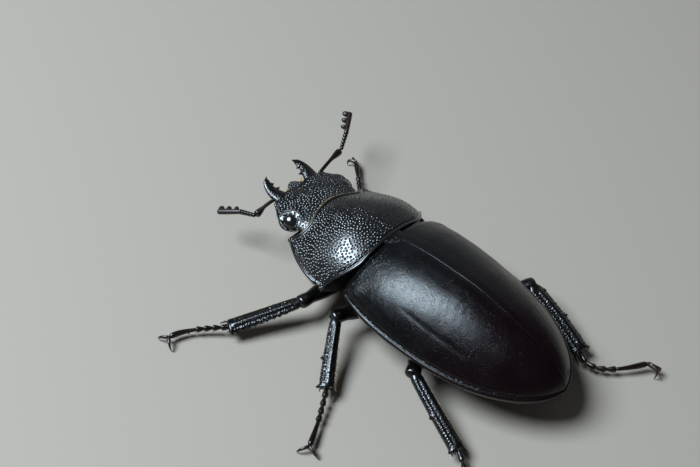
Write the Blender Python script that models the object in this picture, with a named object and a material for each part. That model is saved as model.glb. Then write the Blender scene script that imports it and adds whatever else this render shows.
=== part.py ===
"""Stag beetle, a female of the Dorcus kind, standing on the floor: life size, closed solids.

Frame: +Z up, the head points along -Y, the beetle's left side is +X, and the floor is z = 0.
The model is laid out around the body's middle plane x = 0 and then centred over the origin.
Lengths in the tables and functions are millimetres; MM turns them into metres.
"""
import math

import bmesh
import bpy
from mathutils import Vector

MM = 0.001
GAP = 0.15                      # clearance between neighbouring solids

# Wing cases, measured along the body from the pronotum's hind edge towards the tail. A shape is
# the flatness and the roundness of an arch.
ELYTRA_BASE_Y = 0.55
ELYTRA_APEX_Y = 18.9
ELYTRA_WIDEST_Y = 5.8
ELYTRA_HALF_WIDTH = 6.42
ELYTRA_SHOULDER_REACH = 8.3     # how far ahead of the widest place the outline would close
ELYTRA_SHOULDER_SHAPE = (1.84, 4.3)
ELYTRA_TAIL_SHAPE = (2.35, 1.75)
ELYTRA_CREST_Y = 9.0
ELYTRA_CREST_Z = 8.2
ELYTRA_CREST_SHAPE = (1.4, 2.08)    # the crest's fall from its top to the tail
ELYTRA_SECTION_FLATNESS = 2.1       # the dome from side to side: full between the shoulders,
ELYTRA_BASE_ROUNDNESS = 1.7         # with flatter flanks from the crest backwards
ELYTRA_TAIL_ROUNDNESS = 1.1
ELYTRA_FRONT_DROP = 1.0         # the crest is this much lower at the base
ELYTRA_MARGIN_Z = 3.9
ELYTRA_TAIL_Z = 3.95            # the side margin's height at the tail
ELYTRA_SHELL = 0.6
SHOULDER_SWEEP = 0.3            # the base edge runs this far forward at the shoulders
SCUTELLUM_LENGTH = 1.5
SCUTELLUM_HALF = 1.05

# Pronotum, the shield behind the head.
PRONOTUM_FRONT_Y = -7.25
PRONOTUM_HIND_Y = 0.3
PRONOTUM_FRONT_HALF = 4.35
PRONOTUM_HALF_WIDTH = 6.25
PRONOTUM_WIDEST = 0.9           # share of its length, from the front
PRONOTUM_HIND_TAPER = 0.15
PRONOTUM_MARGIN_Z = 3.45
PRONOTUM_FRONT_Z = 5.4          # the crest at the front edge
PRONOTUM_RISE = 1.9             # from there to its top
PRONOTUM_TOP_AT = 0.68          # share of its length
PRONOTUM_HIND_DROP = 1.4
PRONOTUM_SECTION_SHAPE = (2.2, 1.35)
PRONOTUM_RIM = 0.35             # thickness of its side edge
HIND_CORNER_SWEEP = 1.95        # the hind corners lie this far ahead of the hind edge

# Underside.
BREAST_Z = 1.95                 # lowest line of the breast plates
WAIST_Y = 7.8                   # where the breast ends and the abdomen starts
BELLY_TAIL_RISE = 1.0

# Head.
HEAD_FRONT_Y = -11.15
HEAD_REAR_HALF = 3.5
HEAD_CANTHUS_HALF = 3.95
HEAD_FRONT_HALF = 2.9
HEAD_RIM_Z = 4.3
HEAD_TOP_Z = 5.2
HEAD_THROAT_Z = 2.7
EYE_CENTRE = (3.0, -8.7, 4.05)
EYE_RADII = (1.0, 1.05, 0.95)

# Mandibles: stations run from the hinge, 0, to the tip, 1.
MANDIBLE_BASE_Y = -11.3
MANDIBLE_TIP_Y = -13.5
MANDIBLE_BASE_Z = 4.1
MANDIBLE_TIP_LIFT = 0.8
MANDIBLE_OUTER_X = 2.6
MANDIBLE_INNER_X = 1.0
MANDIBLE_TEETH = {0.42: 0.35, 0.76: 0.3}    # station: how far the tooth stands out
PALP = ((1.5, -11.35, 3.2), (2.1, -13.1, 2.7))

# Antennae: elbowed, with a beaded stalk and a club of three leaves.
ANTENNAE = {
    "left": {"base": (3.1, -11.3, 4.3), "elbow": (5.55, -10.5, 5.05),
             "stalk": (5.8, -12.3, 4.5), "tip": (6.85, -14.2, 3.9)},
    "right": {"base": (-3.2, -11.1, 4.3), "elbow": (-6.1, -11.6, 4.6),
              "stalk": (-8.25, -13.05, 4.6), "tip": (-10.0, -14.6, 5.0)},
}

# Legs. Each stands in its own place: hip, knee and ankle joints, the tarsus' bend and its end,
# where the claws start. All claws rest on the floor.
LEGS = {
    "front_left": {"hip": (2.0, -2.2, 1.3), "knee": (7.6, -2.35, 2.4), "ankle": (13.4, -5.4, 1.1),
                   "bend": (15.7, -7.5, 0.75), "toe": (17.4, -8.2, 0.7)},
    "front_right": {"hip": (-2.0, -2.2, 1.3), "knee": (-6.9, -2.2, 1.4), "ankle": (-5.95, -8.6, 1.0),
                    "bend": (-7.0, -10.1, 0.7), "toe": (-8.9, -12.5, 0.7)},
    "middle_left": {"hip": (2.5, 2.0, 1.5), "knee": (6.95, 0.95, 2.8), "ankle": (11.8, 4.7, 1.1),
                    "bend": (14.0, 6.1, 0.7), "toe": (16.1, 7.25, 0.65)},
    "middle_right": {"hip": (-2.5, 2.0, 1.5), "knee": (-6.8, 0.6, 2.1), "ankle": (-7.55, 6.6, 1.0),
                     "bend": (-7.4, 9.2, 0.7), "toe": (-6.9, 11.8, 0.65)},
    "hind_left": {"hip": (2.6, 6.9, 1.5), "knee": (6.5, 9.1, 2.9), "ankle": (8.4, 15.7, 1.1),
                  "bend": (9.4, 17.4, 0.8), "toe": (11.6, 20.0, 0.75)},
    "hind_right": {"hip": (-2.6, 6.9, 1.5), "knee": (-7.25, 9.8, 2.8), "ankle": (-6.1, 16.9, 1.1),
                   "bend": (-6.2, 18.9, 0.8), "toe": (-9.4, 21.4, 0.95)},
}
# Per pair of legs: half the width and half the thickness of the thigh and of the shin's end,
# the teeth or spines on the shin's outer edge, and how far those stand out.
LEG_BUILD = {
    "front": {"thigh": (0.85, 0.55), "shin": (0.8, 0.45), "teeth": 6, "tooth": 0.3},
    "middle": {"thigh": (0.75, 0.55), "shin": (0.6, 0.45), "teeth": 2, "tooth": 0.35},
    "hind": {"thigh": (0.8, 0.55), "shin": (0.7, 0.5), "teeth": 2, "tooth": 0.3},
}
COXA_RADII = {"front": (1.25, 0.8, 0.8), "middle": (1.2, 0.85, 0.8), "hind": (1.9, 0.8, 0.75)}
COXA_INNER = 0.7                # the hip socket's middle lies this far inside the hip
KNEE_RADIUS = 0.55
SHIN_START = 0.7                  # width of a shin at the knee, as a share of its width at the foot
TARSUS_HALF = 0.27
CLAW_HALF = 0.26
CLAW_REACH = 0.2
CLAW_SPREAD = 0.85
CLAW_DOWN_AT = 0.5              # share of a claw's length after which it lies on the floor
CLAW_SUNK = 0.7                 # height of its middle line there, as a share of its half thickness

LIMB_SIDES = 8

COLLECTION = "stag_beetle"
CUTTERS = "cutters"


# ---------------------------------------------------------------- scene, materials, mesh helpers

def clear_scene():
    for item in list(bpy.data.objects):
        bpy.data.objects.remove(item, do_unlink=True)


def new_collection(name):
    collection = bpy.data.collections.new(name)
    bpy.context.scene.collection.children.link(collection)
    return collection


def material(name, colour, roughness):
    mat = bpy.data.materials.new(name)
    mat.use_nodes = True
    shader = mat.node_tree.nodes["Principled BSDF"]
    shader.inputs["Base Color"].default_value = (*colour, 1.0)
    shader.inputs["Roughness"].default_value = roughness
    shader.inputs["Metallic"].default_value = 0.0
    mat.diffuse_color = (*colour, 1.0)
    return mat


def add_body(name, points, faces, mat, collection=COLLECTION):
    """One closed body from points in millimetres; its faces are turned outwards."""
    mesh = bpy.data.meshes.new(name)
    mesh.from_pydata([Vector(p) * MM for p in points], [], faces)
    bm = bmesh.new()
    bm.from_mesh(mesh)
    bmesh.ops.recalc_face_normals(bm, faces=bm.faces)
    if bm.calc_volume(signed=True) < 0:
        bmesh.ops.reverse_faces(bm, faces=bm.faces)
    bm.to_mesh(mesh)
    bm.free()
    mesh.shade_smooth()
    mesh.set_sharp_from_angle(angle=math.radians(50))
    mesh.materials.append(mat)
    body = bpy.data.objects.new(name, mesh)
    bpy.data.collections[collection].objects.link(body)
    return body


def loft(name, rings, mat):
    """A closed body through rings of equally many points, with a flat cap at each end."""
    count = len(rings[0])
    points = [p for ring in rings for p in ring]
    faces = []
    for row in range(len(rings) - 1):
        for i in range(count):
            j = (i + 1) % count
            faces.append((row * count + i, row * count + j, (row + 1) * count + j, (row + 1) * count + i))
    faces.append(tuple(range(count)))
    faces.append(tuple(range((len(rings) - 1) * count, len(rings) * count)))
    return add_body(name, points, faces, mat)


def slab(name, upper, lower, across, along, mat, collection=COLLECTION):
    """A closed plate between two surfaces given as functions of (u, v), both from 0 to 1."""
    width = across + 1
    layer = width * (along + 1)
    points = []
    for surface in (upper, lower):
        for row in range(along + 1):
            for column in range(width):
                points.append(surface(column / across, row / along))
    faces = []
    for row in range(along):
        for column in range(across):
            a = row * width + column
            quad = (a, a + 1, a + 1 + width, a + width)
            faces.append(quad)
            faces.append(tuple(layer + k for k in quad))
    border = []
    for column in range(across):
        border.append((column, column + 1))
        border.append((along * width + column, along * width + column + 1))
    for row in range(along):
        border.append((row * width, (row + 1) * width))
        border.append((row * width + across, (row + 1) * width + across))
    for a, b in border:
        faces.append((a, b, layer + b, layer + a))
    return add_body(name, points, faces, mat, collection)


def ellipsoid(name, centre, radii, mat, collection=COLLECTION, segments=12, rows=8, grow=0.0):
    """A sphere primitive stretched to its radii, all millimetres, with its axis along Z."""
    mesh = bpy.data.meshes.new(name)
    bm = bmesh.new()
    bmesh.ops.create_uvsphere(bm, u_segments=segments, v_segments=rows, radius=1.0)
    for vertex in bm.verts:
        vertex.co = Vector([MM * (c + k * (r + grow)) for c, k, r in zip(centre, vertex.co, radii)])
    bm.to_mesh(mesh)
    bm.free()
    mesh.shade_smooth()
    mesh.materials.append(mat)
    body = bpy.data.objects.new(name, mesh)
    bpy.data.collections[collection].objects.link(body)
    return body


def carve(body, cutter):
    """Cut the cutter's shape out of the body; the cutter itself is only a guide."""
    cutter.hide_render = True
    cutter.display_type = "WIRE"
    cut = body.modifiers.new("seat_for_" + cutter.name, "BOOLEAN")
    cut.operation = "DIFFERENCE"
    cut.solver = "EXACT"
    cut.object = cutter


def mix(a, b, t):
    return a + (b - a) * t


def arch(t, flatness, roundness):
    """1 at t = 0, falling to 0 at t = 1; a high flatness keeps it level for longer."""
    return max(0.0, 1.0 - abs(t) ** flatness) ** (1.0 / roundness)


def crowded(t):
    """Stations from 0 to 1 that lie closer together towards both ends."""
    return 0.5 - 0.5 * math.cos(math.pi * t)


def curve_point(start, bend, end, t):
    """A point on the smooth curve from start to end that leans towards the bend."""
    a, b = start.lerp(bend, t), bend.lerp(end, t)
    return a.lerp(b, t)


def sweep_rings(path, outer, profile, sides=LIMB_SIDES, turn=0.0):
    """Rings across a path. profile(t) gives the reach on the outer and on the inner side, and half
    the thickness; outer is the direction of the outer side, where a ring's first point lies
    unless turn moves it round."""
    rings = []
    for i, point in enumerate(path):
        ahead = path[min(i + 1, len(path) - 1)]
        behind = path[max(i - 1, 0)]
        tangent = (ahead - behind).normalized()
        side = (outer - outer.dot(tangent) * tangent).normalized()
        thick = tangent.cross(side)
        reach_out, reach_in, half = profile(i / (len(path) - 1))
        ring = []
        for k in range(sides):
            angle = 2 * math.pi * k / sides + turn
            reach = reach_out if math.cos(angle) > 0 else reach_in
            ring.append(point + side * (reach * math.cos(angle)) + thick * (half * math.sin(angle)))
        rings.append(ring)
    return rings


# ---------------------------------------------------------------- wing cases and what they cover

def elytra_half_width(y, inset):
    width = ELYTRA_HALF_WIDTH - inset
    if y < ELYTRA_WIDEST_Y:
        return width * arch((ELYTRA_WIDEST_Y - y) / ELYTRA_SHOULDER_REACH, *ELYTRA_SHOULDER_SHAPE)
    tail = (y - ELYTRA_WIDEST_Y) / (ELYTRA_APEX_Y - inset - ELYTRA_WIDEST_Y)
    return width * arch(tail, *ELYTRA_TAIL_SHAPE)


def elytra_margin_z(y):
    return mix(ELYTRA_MARGIN_Z, ELYTRA_TAIL_Z, y / ELYTRA_APEX_Y)


def elytra_crest_z(y, inset):
    crest = ELYTRA_CREST_Z - inset
    if y < ELYTRA_CREST_Y:
        return crest - ELYTRA_FRONT_DROP * ((ELYTRA_CREST_Y - y) / ELYTRA_CREST_Y) ** 2
    margin = elytra_margin_z(y)
    tail = (y - ELYTRA_CREST_Y) / (ELYTRA_APEX_Y - inset - ELYTRA_CREST_Y)
    return margin + (crest - margin) * arch(tail, *ELYTRA_CREST_SHAPE)


def dome_point(across, y, inset, seam=0.0):
    """On the wing cases' surface, moved in by inset. across runs from -1, the right margin, to 1."""
    reach = math.sin(0.5 * math.pi * across)
    width = max(elytra_half_width(y, inset), seam + 0.05)
    x = math.copysign(seam, reach) + (width - seam) * reach
    margin = elytra_margin_z(y)
    roundness = mix(ELYTRA_BASE_ROUNDNESS, ELYTRA_TAIL_ROUNDNESS, min(1.0, y / ELYTRA_CREST_Y))
    z = margin + (elytra_crest_z(y, inset) - margin) * arch(reach, ELYTRA_SECTION_FLATNESS, roundness)
    return x, y, z


def swept_forward(point, along):
    """The shoulders' share of a wing case's base edge lies further forward."""
    x, y, z = point
    return x, y - SHOULDER_SWEEP * (abs(x) / 5.0) ** 4 * (1 - along) ** 3, z


def elytron(side, mat):
    seam = GAP / 2
    last = 0.996                # the rows end just before the tip closes to a point

    def surface(inset):
        def point(u, v):
            start = ELYTRA_BASE_Y
            end = mix(start, ELYTRA_APEX_Y - inset, last)
            y = mix(start, end, crowded(v))
            x, y, z = swept_forward(dome_point(u, y, inset, seam), crowded(v))
            return side * x, y, z
        return point

    name = "elytron_left" if side > 0 else "elytron_right"
    return slab(name, surface(0.0), surface(ELYTRA_SHELL), 7, 13, mat)


def belly_z(across, y):
    rise = BELLY_TAIL_RISE * max(0.0, (y - WAIST_Y) / (ELYTRA_APEX_Y - WAIST_Y)) ** 2
    lowest = BREAST_Z + rise
    edge = elytra_margin_z(y) - PRONOTUM_RIM
    return mix(lowest, edge, abs(across) ** 1.7)


def trunk_section(name, start, end, rows, mat):
    """A length of the trunk below the wing cases: its back follows them, its belly is keeled."""
    inset = ELYTRA_SHELL + GAP

    def back(u, v):
        y = mix(start, end, 1 - (1 - v) ** 1.5)
        return dome_point(2 * u - 1, y, inset)

    def belly(u, v):
        x, y, z = back(u, v)
        return x, y, belly_z(math.sin(0.5 * math.pi * (2 * u - 1)), y)

    return slab(name, back, belly, 12, rows, mat)


def scutellum(name, mat, grow=0.0, collection=COLLECTION):
    """The small three-cornered plate let in between the wing cases' bases, level with them."""
    start = ELYTRA_BASE_Y - 2 * grow
    end = ELYTRA_BASE_Y + SCUTELLUM_LENGTH + grow

    def surface(lift):
        def point(u, v):
            y = mix(start, end, v)
            x = (2 * u - 1) * (SCUTELLUM_HALF * arch(v * 0.97, 1.6, 1.2) + grow)
            return x, y, elytra_crest_z(y, 0.0) + lift
        return point

    top, bottom = 0.05 + 4 * grow, -0.9 * ELYTRA_SHELL - 4 * grow
    return slab(name, surface(top), surface(bottom), 4, 5, mat, collection)


# ---------------------------------------------------------------- shield and head

def pronotum_front_y(across):
    """The front edge: a slight lobe in the middle, hollowed beside it, and sharp front corners."""
    return PRONOTUM_FRONT_Y + 2.63 * across ** 2 - 2.88 * across ** 4


def pronotum_hind_y(across):
    bend = max(0.0, (abs(across) - 0.55) / 0.45)
    return PRONOTUM_HIND_Y - HIND_CORNER_SWEEP * bend ** 1.6


def pronotum_half_width(along):
    spread = PRONOTUM_HALF_WIDTH - PRONOTUM_FRONT_HALF
    if along < PRONOTUM_WIDEST:
        return PRONOTUM_FRONT_HALF + spread * (1 - (1 - along / PRONOTUM_WIDEST) ** 2)
    return PRONOTUM_HALF_WIDTH - PRONOTUM_HIND_TAPER * (along - PRONOTUM_WIDEST) / (1 - PRONOTUM_WIDEST)


def pronotum_crest_z(along):
    rise = PRONOTUM_RISE * math.sin(0.5 * math.pi * min(1.0, along / PRONOTUM_TOP_AT))
    drop = PRONOTUM_HIND_DROP * max(0.0, along - PRONOTUM_TOP_AT) ** 1.2
    return PRONOTUM_FRONT_Z + rise - drop


def pronotum_point(u, v):
    across = math.sin(0.5 * math.pi * (2 * u - 1))
    x = across * pronotum_half_width(v)
    y = mix(pronotum_front_y(across), pronotum_hind_y(across), v)
    height = pronotum_crest_z(v) - PRONOTUM_MARGIN_Z
    return x, y, PRONOTUM_MARGIN_Z + height * arch(across, *PRONOTUM_SECTION_SHAPE)


def pronotum(mat):
    def under(u, v):
        x, y, _ = pronotum_point(u, v)
        return x, y, PRONOTUM_MARGIN_Z - PRONOTUM_RIM
    return slab("pronotum", pronotum_point, under, 14, 9, mat)


def prosternum(mat):
    """The breast plate below the shield, set in from its edge."""
    set_in = 0.86

    def top(u, v):
        x, y, _ = pronotum_point(u, 0.03 + 0.94 * v)
        return x * set_in, y, PRONOTUM_MARGIN_Z - PRONOTUM_RIM - GAP

    def bottom(u, v):
        x, y, z = top(u, v)
        across = math.sin(0.5 * math.pi * (2 * u - 1))
        return x, y, mix(BREAST_Z, z - 0.25, abs(across) ** 1.3)

    return slab("prosternum", top, bottom, 10, 7, mat)


def head_half_width(along):
    """From the neck, 0, out to the ridge in front of the eyes, and in again to the front, 1."""
    if along < 0.3:
        return HEAD_REAR_HALF
    if along < 0.5:
        return mix(HEAD_REAR_HALF, HEAD_CANTHUS_HALF, crowded((along - 0.3) / 0.2))
    return HEAD_CANTHUS_HALF - (HEAD_CANTHUS_HALF - HEAD_FRONT_HALF) * ((along - 0.5) / 0.5) ** 1.8


def head_point(u, v):
    across = math.sin(0.5 * math.pi * (2 * u - 1))
    x = across * head_half_width(v)
    rear = pronotum_front_y(x / PRONOTUM_FRONT_HALF) - GAP
    front = HEAD_FRONT_Y + 0.25 * across ** 2
    crown = HEAD_TOP_Z - 0.65 * max(0.0, v - 0.4) ** 1.3 / 0.6 ** 1.3
    return x, mix(rear, front, v), mix(HEAD_RIM_Z, crown, arch(across, 2.6, 1.6))


def head(mat):
    def throat(u, v):
        x, y, _ = head_point(u, v)
        across = math.sin(0.5 * math.pi * (2 * u - 1))
        low = HEAD_THROAT_Z + 0.7 * v ** 2
        return x, y, mix(low, HEAD_RIM_Z - 0.4, across ** 2)
    return slab("head", head_point, throat, 12, 10, mat)


def labrum(mat):
    """The upper lip: a short plate between the mandibles' hinges."""
    half, length, thick = 0.8, 0.75, 0.55

    def surface(z):
        def point(u, v):
            across = 2 * u - 1
            y = HEAD_FRONT_Y - GAP - length * v * arch(across * 0.9, 2.0, 2.0)
            return across * half * (1 - 0.2 * v), y, z
        return point

    return slab("labrum", surface(MANDIBLE_BASE_Z + 0.3), surface(MANDIBLE_BASE_Z + 0.3 - thick), 6, 2, mat)


def mandible(side, mat):
    """A short curved jaw: the outer edge bows, the inner edge carries two teeth."""
    stations = (0.0, 0.12, 0.3, 0.42, 0.52, 0.64, 0.76, 0.88, 1.0)
    rings = []
    for t in stations:
        y = mix(MANDIBLE_BASE_Y, MANDIBLE_TIP_Y, t)
        outer_x = MANDIBLE_OUTER_X - 0.1 * t - 0.7 * t ** 4
        inner_x = MANDIBLE_INNER_X + 0.75 * math.sin(0.5 * math.pi * t) - 0.4 * t ** 3
        inner_x -= MANDIBLE_TEETH.get(t, 0.0)
        z = MANDIBLE_BASE_Z + MANDIBLE_TIP_LIFT * t ** 1.6
        half = mix(0.6, 0.27, t)
        middle, reach = (outer_x + inner_x) / 2, (outer_x - inner_x) / 2
        ring = []
        for k in range(LIMB_SIDES):
            angle = 2 * math.pi * k / LIMB_SIDES
            ring.append((side * (middle + reach * math.cos(angle)), y, z + half * math.sin(angle)))
        rings.append(ring)
    return loft("mandible_left" if side > 0 else "mandible_right", rings, mat)


def palp(side, mat):
    """A maxillary feeler below the mandible: three short joints."""
    start, end = (Vector((side * x, y, z)) for x, y, z in PALP)
    path = [start.lerp(end, t / 9) for t in range(10)]

    def profile(t):
        half = 0.26 + 0.06 * abs(math.sin(3 * math.pi * t))
        return half, half, half

    name = "maxillary_palp_left" if side > 0 else "maxillary_palp_right"
    return loft(name, sweep_rings(path, Vector((0, 0, 1)), profile, 6), mat)


# ---------------------------------------------------------------- antennae

def shortened(start, end, at_start, at_end):
    """The stretch between two joints, without the room that the joints need."""
    direction = (end - start).normalized()
    return start + direction * at_start, end - direction * at_end


def antenna(side, joints, materials):
    base, elbow, stalk, tip = (Vector(joints[key]) for key in ("base", "elbow", "stalk", "tip"))
    up = Vector((0, 0, 1))
    room = GAP / 2

    start, end = shortened(base, elbow, 0.0, room + 0.3)
    scape_path = [start.lerp(end, t / 5) for t in range(6)]

    def scape_profile(t):
        half = 0.25 + 0.13 * t ** 2 * (1 - 0.5 * max(0.0, t - 0.8) / 0.2)
        return half, half, half

    loft("antenna_scape_" + side, sweep_rings(scape_path, up, scape_profile, 6), materials["chitin"])

    start, end = shortened(elbow, stalk, room + 0.3, 1.5 * room)
    beads = 5
    stalk_path = [start.lerp(end, t / (2 * beads)) for t in range(2 * beads + 1)]

    def bead_profile(t):
        half = 0.25 + 0.06 * abs(math.sin(beads * math.pi * t))
        return half, half, half

    loft("antenna_stalk_" + side, sweep_rings(stalk_path, up, bead_profile, 6), materials["chitin"])

    start, end = shortened(stalk, tip, room, 0.0)
    leaves = 3
    club_path = [start.lerp(end, t / (2 * leaves)) for t in range(2 * leaves + 1)]
    inner = Vector((-1, -0.3, 0)) if side == "left" else Vector((1, -0.3, 0))

    def club_profile(t):
        leaf = abs(math.sin(leaves * math.pi * t))
        return 0.3 + 0.6 * leaf * (0.7 + 0.3 * t), 0.27, 0.27 + 0.1 * leaf

    loft("antenna_club_" + side, sweep_rings(club_path, inner, club_profile), materials["club"])


# ---------------------------------------------------------------- legs

def outer_direction(axis, towards):
    """Level, across the axis, away from the side that the joint folds to."""
    folded = towards - towards.dot(axis) * axis
    folded.z = 0
    return -folded.normalized()


def thigh(name, hip, knee, outer, build, mat):
    """Swollen in the middle, and round about the knee's axis at its end."""
    axis = (knee - hip).normalized()
    start, end = hip + 0.2 * axis, knee + KNEE_RADIUS * axis
    length = (end - start).length
    width, half = build["thigh"]
    round_end = [length - KNEE_RADIUS * (1 - math.sin(a)) for a in (0.0, 0.6, 1.1, 1.4)]
    reaches = [length * s for s in (0.0, 0.14, 0.3, 0.5, 0.7)] + round_end
    path = [start + axis * reach for reach in reaches]

    def profile(t):
        reach = reaches[round(t * (len(reaches) - 1))]
        beyond = max(0.0, reach - (length - KNEE_RADIUS)) / KNEE_RADIUS
        rounding = math.sqrt(max(0.0, 1 - beyond ** 2))
        swell = math.sin(math.pi * min(1.0, 0.12 + 0.82 * reach / length))
        at_knee = KNEE_RADIUS * rounding
        if beyond > 0:
            return at_knee, at_knee, at_knee * 0.9
        return max(width * swell, at_knee), max(width * swell, at_knee), max(half * swell, at_knee * 0.9)

    return loft(name, sweep_rings(path, outer, profile), mat)


def shin_stations(teeth):
    """Stations along a shin, with three at each tooth: its foot, its point and behind it."""
    stations = [0.0, 0.08]
    for k in range(teeth):
        point = mix(0.3, 1.0, (k + 1) / teeth) if teeth > 2 else mix(0.15, 1.0, (k + 1) / teeth)
        stations += [point - 0.09, point]
        if point < 0.99:
            stations.append(point + 0.025)
    return stations


def shin(name, knee, ankle, outer, build, mat):
    start, end = shortened(knee, ankle, KNEE_RADIUS + 1.7 * GAP, 0.0)
    width, half = build["shin"]
    stations = shin_stations(build["teeth"])
    points = {round(s, 4) for s in stations[3::3]}
    path = [start.lerp(end, s) for s in stations]

    def profile(t):
        s = stations[round(t * (len(stations) - 1))]
        grown = mix(SHIN_START, 1.0, min(1.0, s / 0.9))
        inner = width * grown * (1.0 if s < 0.95 else 1.1)
        tooth = build["tooth"] * mix(0.5, 1.0, s) if round(s, 4) in points else 0.0
        return width * grown + tooth, inner, half * mix(0.75, 1.0, s)

    return loft(name, sweep_rings(path, outer, profile), mat)


def foot_path(joints):
    ankle, bend, toe = (Vector(joints[key]) for key in ("ankle", "bend", "toe"))
    control = bend * 2 - (ankle + toe) / 2      # so that the curve passes the bend half-way
    return ankle, control, toe


def tarsus(name, joints, mat):
    """Four short joints and one long one that carries the claws."""
    ankle, control, toe = foot_path(joints)
    ankle = ankle + (control - ankle).normalized() * 2.2 * GAP
    shares = (0.0, 0.13, 0.27, 0.41, 0.55, 1.0)
    path, halves = [], []
    for first, last in zip(shares, shares[1:]):
        for part, half in ((0.04, 0.25), (0.75, TARSUS_HALF + 0.07), (0.96, TARSUS_HALF)):
            path.append(curve_point(ankle, control, toe, mix(first, last, part)))
            halves.append(half)

    def profile(t):
        half = halves[round(t * (len(path) - 1))]
        return half, half, half

    return loft(name, sweep_rings(path, Vector((0, 0, 1)), profile, 6), mat)


def claws(name, joints, mat):
    """Two curved claws in one piece: a horseshoe whose ends come down to the floor, where each
    is ground off level so that the beetle stands on small flats."""
    _, control, toe = foot_path(joints)
    forward = (toe - control).normalized()
    forward.z = 0
    forward.normalize()
    across = Vector((0, 0, 1)).cross(forward)
    steps = 10
    sides = 6
    path = []
    for i in range(steps + 1):
        t = 2 * i / steps - 1
        reach = GAP + CLAW_HALF + CLAW_REACH * (1 - math.cos(0.5 * math.pi * t)) ** 0.9
        point = toe + forward * reach + across * (CLAW_SPREAD * math.sin(0.5 * math.pi * t))
        point.z = mix(toe.z, CLAW_HALF * CLAW_SUNK, min(1.0, abs(t) / CLAW_DOWN_AT) ** 1.5)
        path.append(point)

    def profile(t):
        half = CLAW_HALF + 0.05 * (1 - abs(2 * t - 1))
        return half, half, half

    rings = sweep_rings(path, Vector((0, 0, 1)), profile, sides, math.pi / sides)
    level = [[Vector((p.x, p.y, max(0.0, p.z))) for p in ring] for ring in rings]
    return loft(name, level, mat)


def leg(place, joints, breast, mat, claw_mat):
    pair, side = place.split("_")
    build = LEG_BUILD[pair]
    hip, knee, ankle = (Vector(joints[key]) for key in ("hip", "knee", "ankle"))
    inward = -1 if side == "left" else 1
    radii = COXA_RADII[pair]
    socket = (hip.x + inward * COXA_INNER, hip.y, hip.z + 0.35)
    ellipsoid("coxa_" + place, socket, radii, mat, segments=10, rows=6)
    seat = ellipsoid("seat_coxa_" + place, socket, radii, mat, CUTTERS, 10, 6, GAP)
    thigh_axis = (knee - hip).normalized()
    shin_axis = (ankle - knee).normalized()
    upper = thigh("femur_" + place, hip, knee, outer_direction(thigh_axis, shin_axis), build, mat)
    carve(upper, seat)
    carve(breast, seat)
    shin("tibia_" + place, knee, ankle, outer_direction(shin_axis, -thigh_axis), build, mat)
    tarsus("tarsus_" + place, joints, mat)
    claws("claws_" + place, joints, claw_mat)


# ---------------------------------------------------------------- whole beetle

def centre_on_floor(bodies):
    """Move everything so that the origin is below the middle of the model's box, on the floor."""
    depsgraph = bpy.context.evaluated_depsgraph_get()
    corners = []
    for body in bodies:
        mesh = body.evaluated_get(depsgraph).data
        corners += [body.matrix_world @ vertex.co for vertex in mesh.vertices]
    low = Vector([min(c[i] for c in corners) for i in range(3)])
    high = Vector([max(c[i] for c in corners) for i in range(3)])
    shift = Vector((-(low.x + high.x) / 2, -(low.y + high.y) / 2, -low.z))
    for item in bpy.data.objects:
        item.location += shift


def build():
    clear_scene()
    new_collection(COLLECTION)
    new_collection(CUTTERS)
    chitin = material("black_chitin", (0.012, 0.011, 0.012), 0.28)
    case = material("wing_case", (0.014, 0.011, 0.013), 0.32)
    eye_mat = material("eye", (0.008, 0.008, 0.009), 0.08)
    club = material("antenna_club", (0.06, 0.045, 0.035), 0.6)
    underside = material("underside", (0.016, 0.012, 0.010), 0.4)
    horn = material("claw_horn", (0.035, 0.014, 0.008), 0.3)

    skull = head(chitin)
    for side, word in ((1, "left"), (-1, "right")):
        place = (side * EYE_CENTRE[0], EYE_CENTRE[1], EYE_CENTRE[2])
        ellipsoid("eye_" + word, place, EYE_RADII, eye_mat)
        carve(skull, ellipsoid("seat_eye_" + word, place, EYE_RADII, chitin, CUTTERS, 10, 8, GAP))
        mandible(side, chitin)
        palp(side, chitin)
        antenna(word, ANTENNAE[word], {"chitin": chitin, "club": club})
    labrum(chitin)
    pronotum(chitin)
    notch = scutellum("notch_for_scutellum", chitin, GAP, CUTTERS)
    scutellum("scutellum", chitin)
    carve(elytron(1, case), notch)
    carve(elytron(-1, case), notch)
    front_breast = prosternum(underside)
    main_breast = trunk_section("pterothorax", ELYTRA_BASE_Y + 0.1, WAIST_Y - GAP, 5, underside)
    trunk_section("abdomen", WAIST_Y, ELYTRA_APEX_Y - ELYTRA_SHELL - 2 * GAP, 8, underside)
    for place, joints in LEGS.items():
        breast = front_breast if place.startswith("front") else main_breast
        leg(place, joints, breast, chitin, horn)
    bpy.context.view_layer.update()
    centre_on_floor(bpy.data.collections[COLLECTION].objects)


build()
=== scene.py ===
"""Looks of the stag beetle: finely shaped shell pieces, limbs, hairs and finishes on the CAD frame.

Shapes are laid out in millimetres around the body's middle plane, with the head along -Y and the
floor at z = 0. ORIGIN carries that layout to its place in the frame, in metres.
"""

import math
from collections import namedtuple
from itertools import product
from math import pi

import bpy
import numpy as np
from mathutils import Matrix, Vector
from mathutils.kdtree import KDTree


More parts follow.
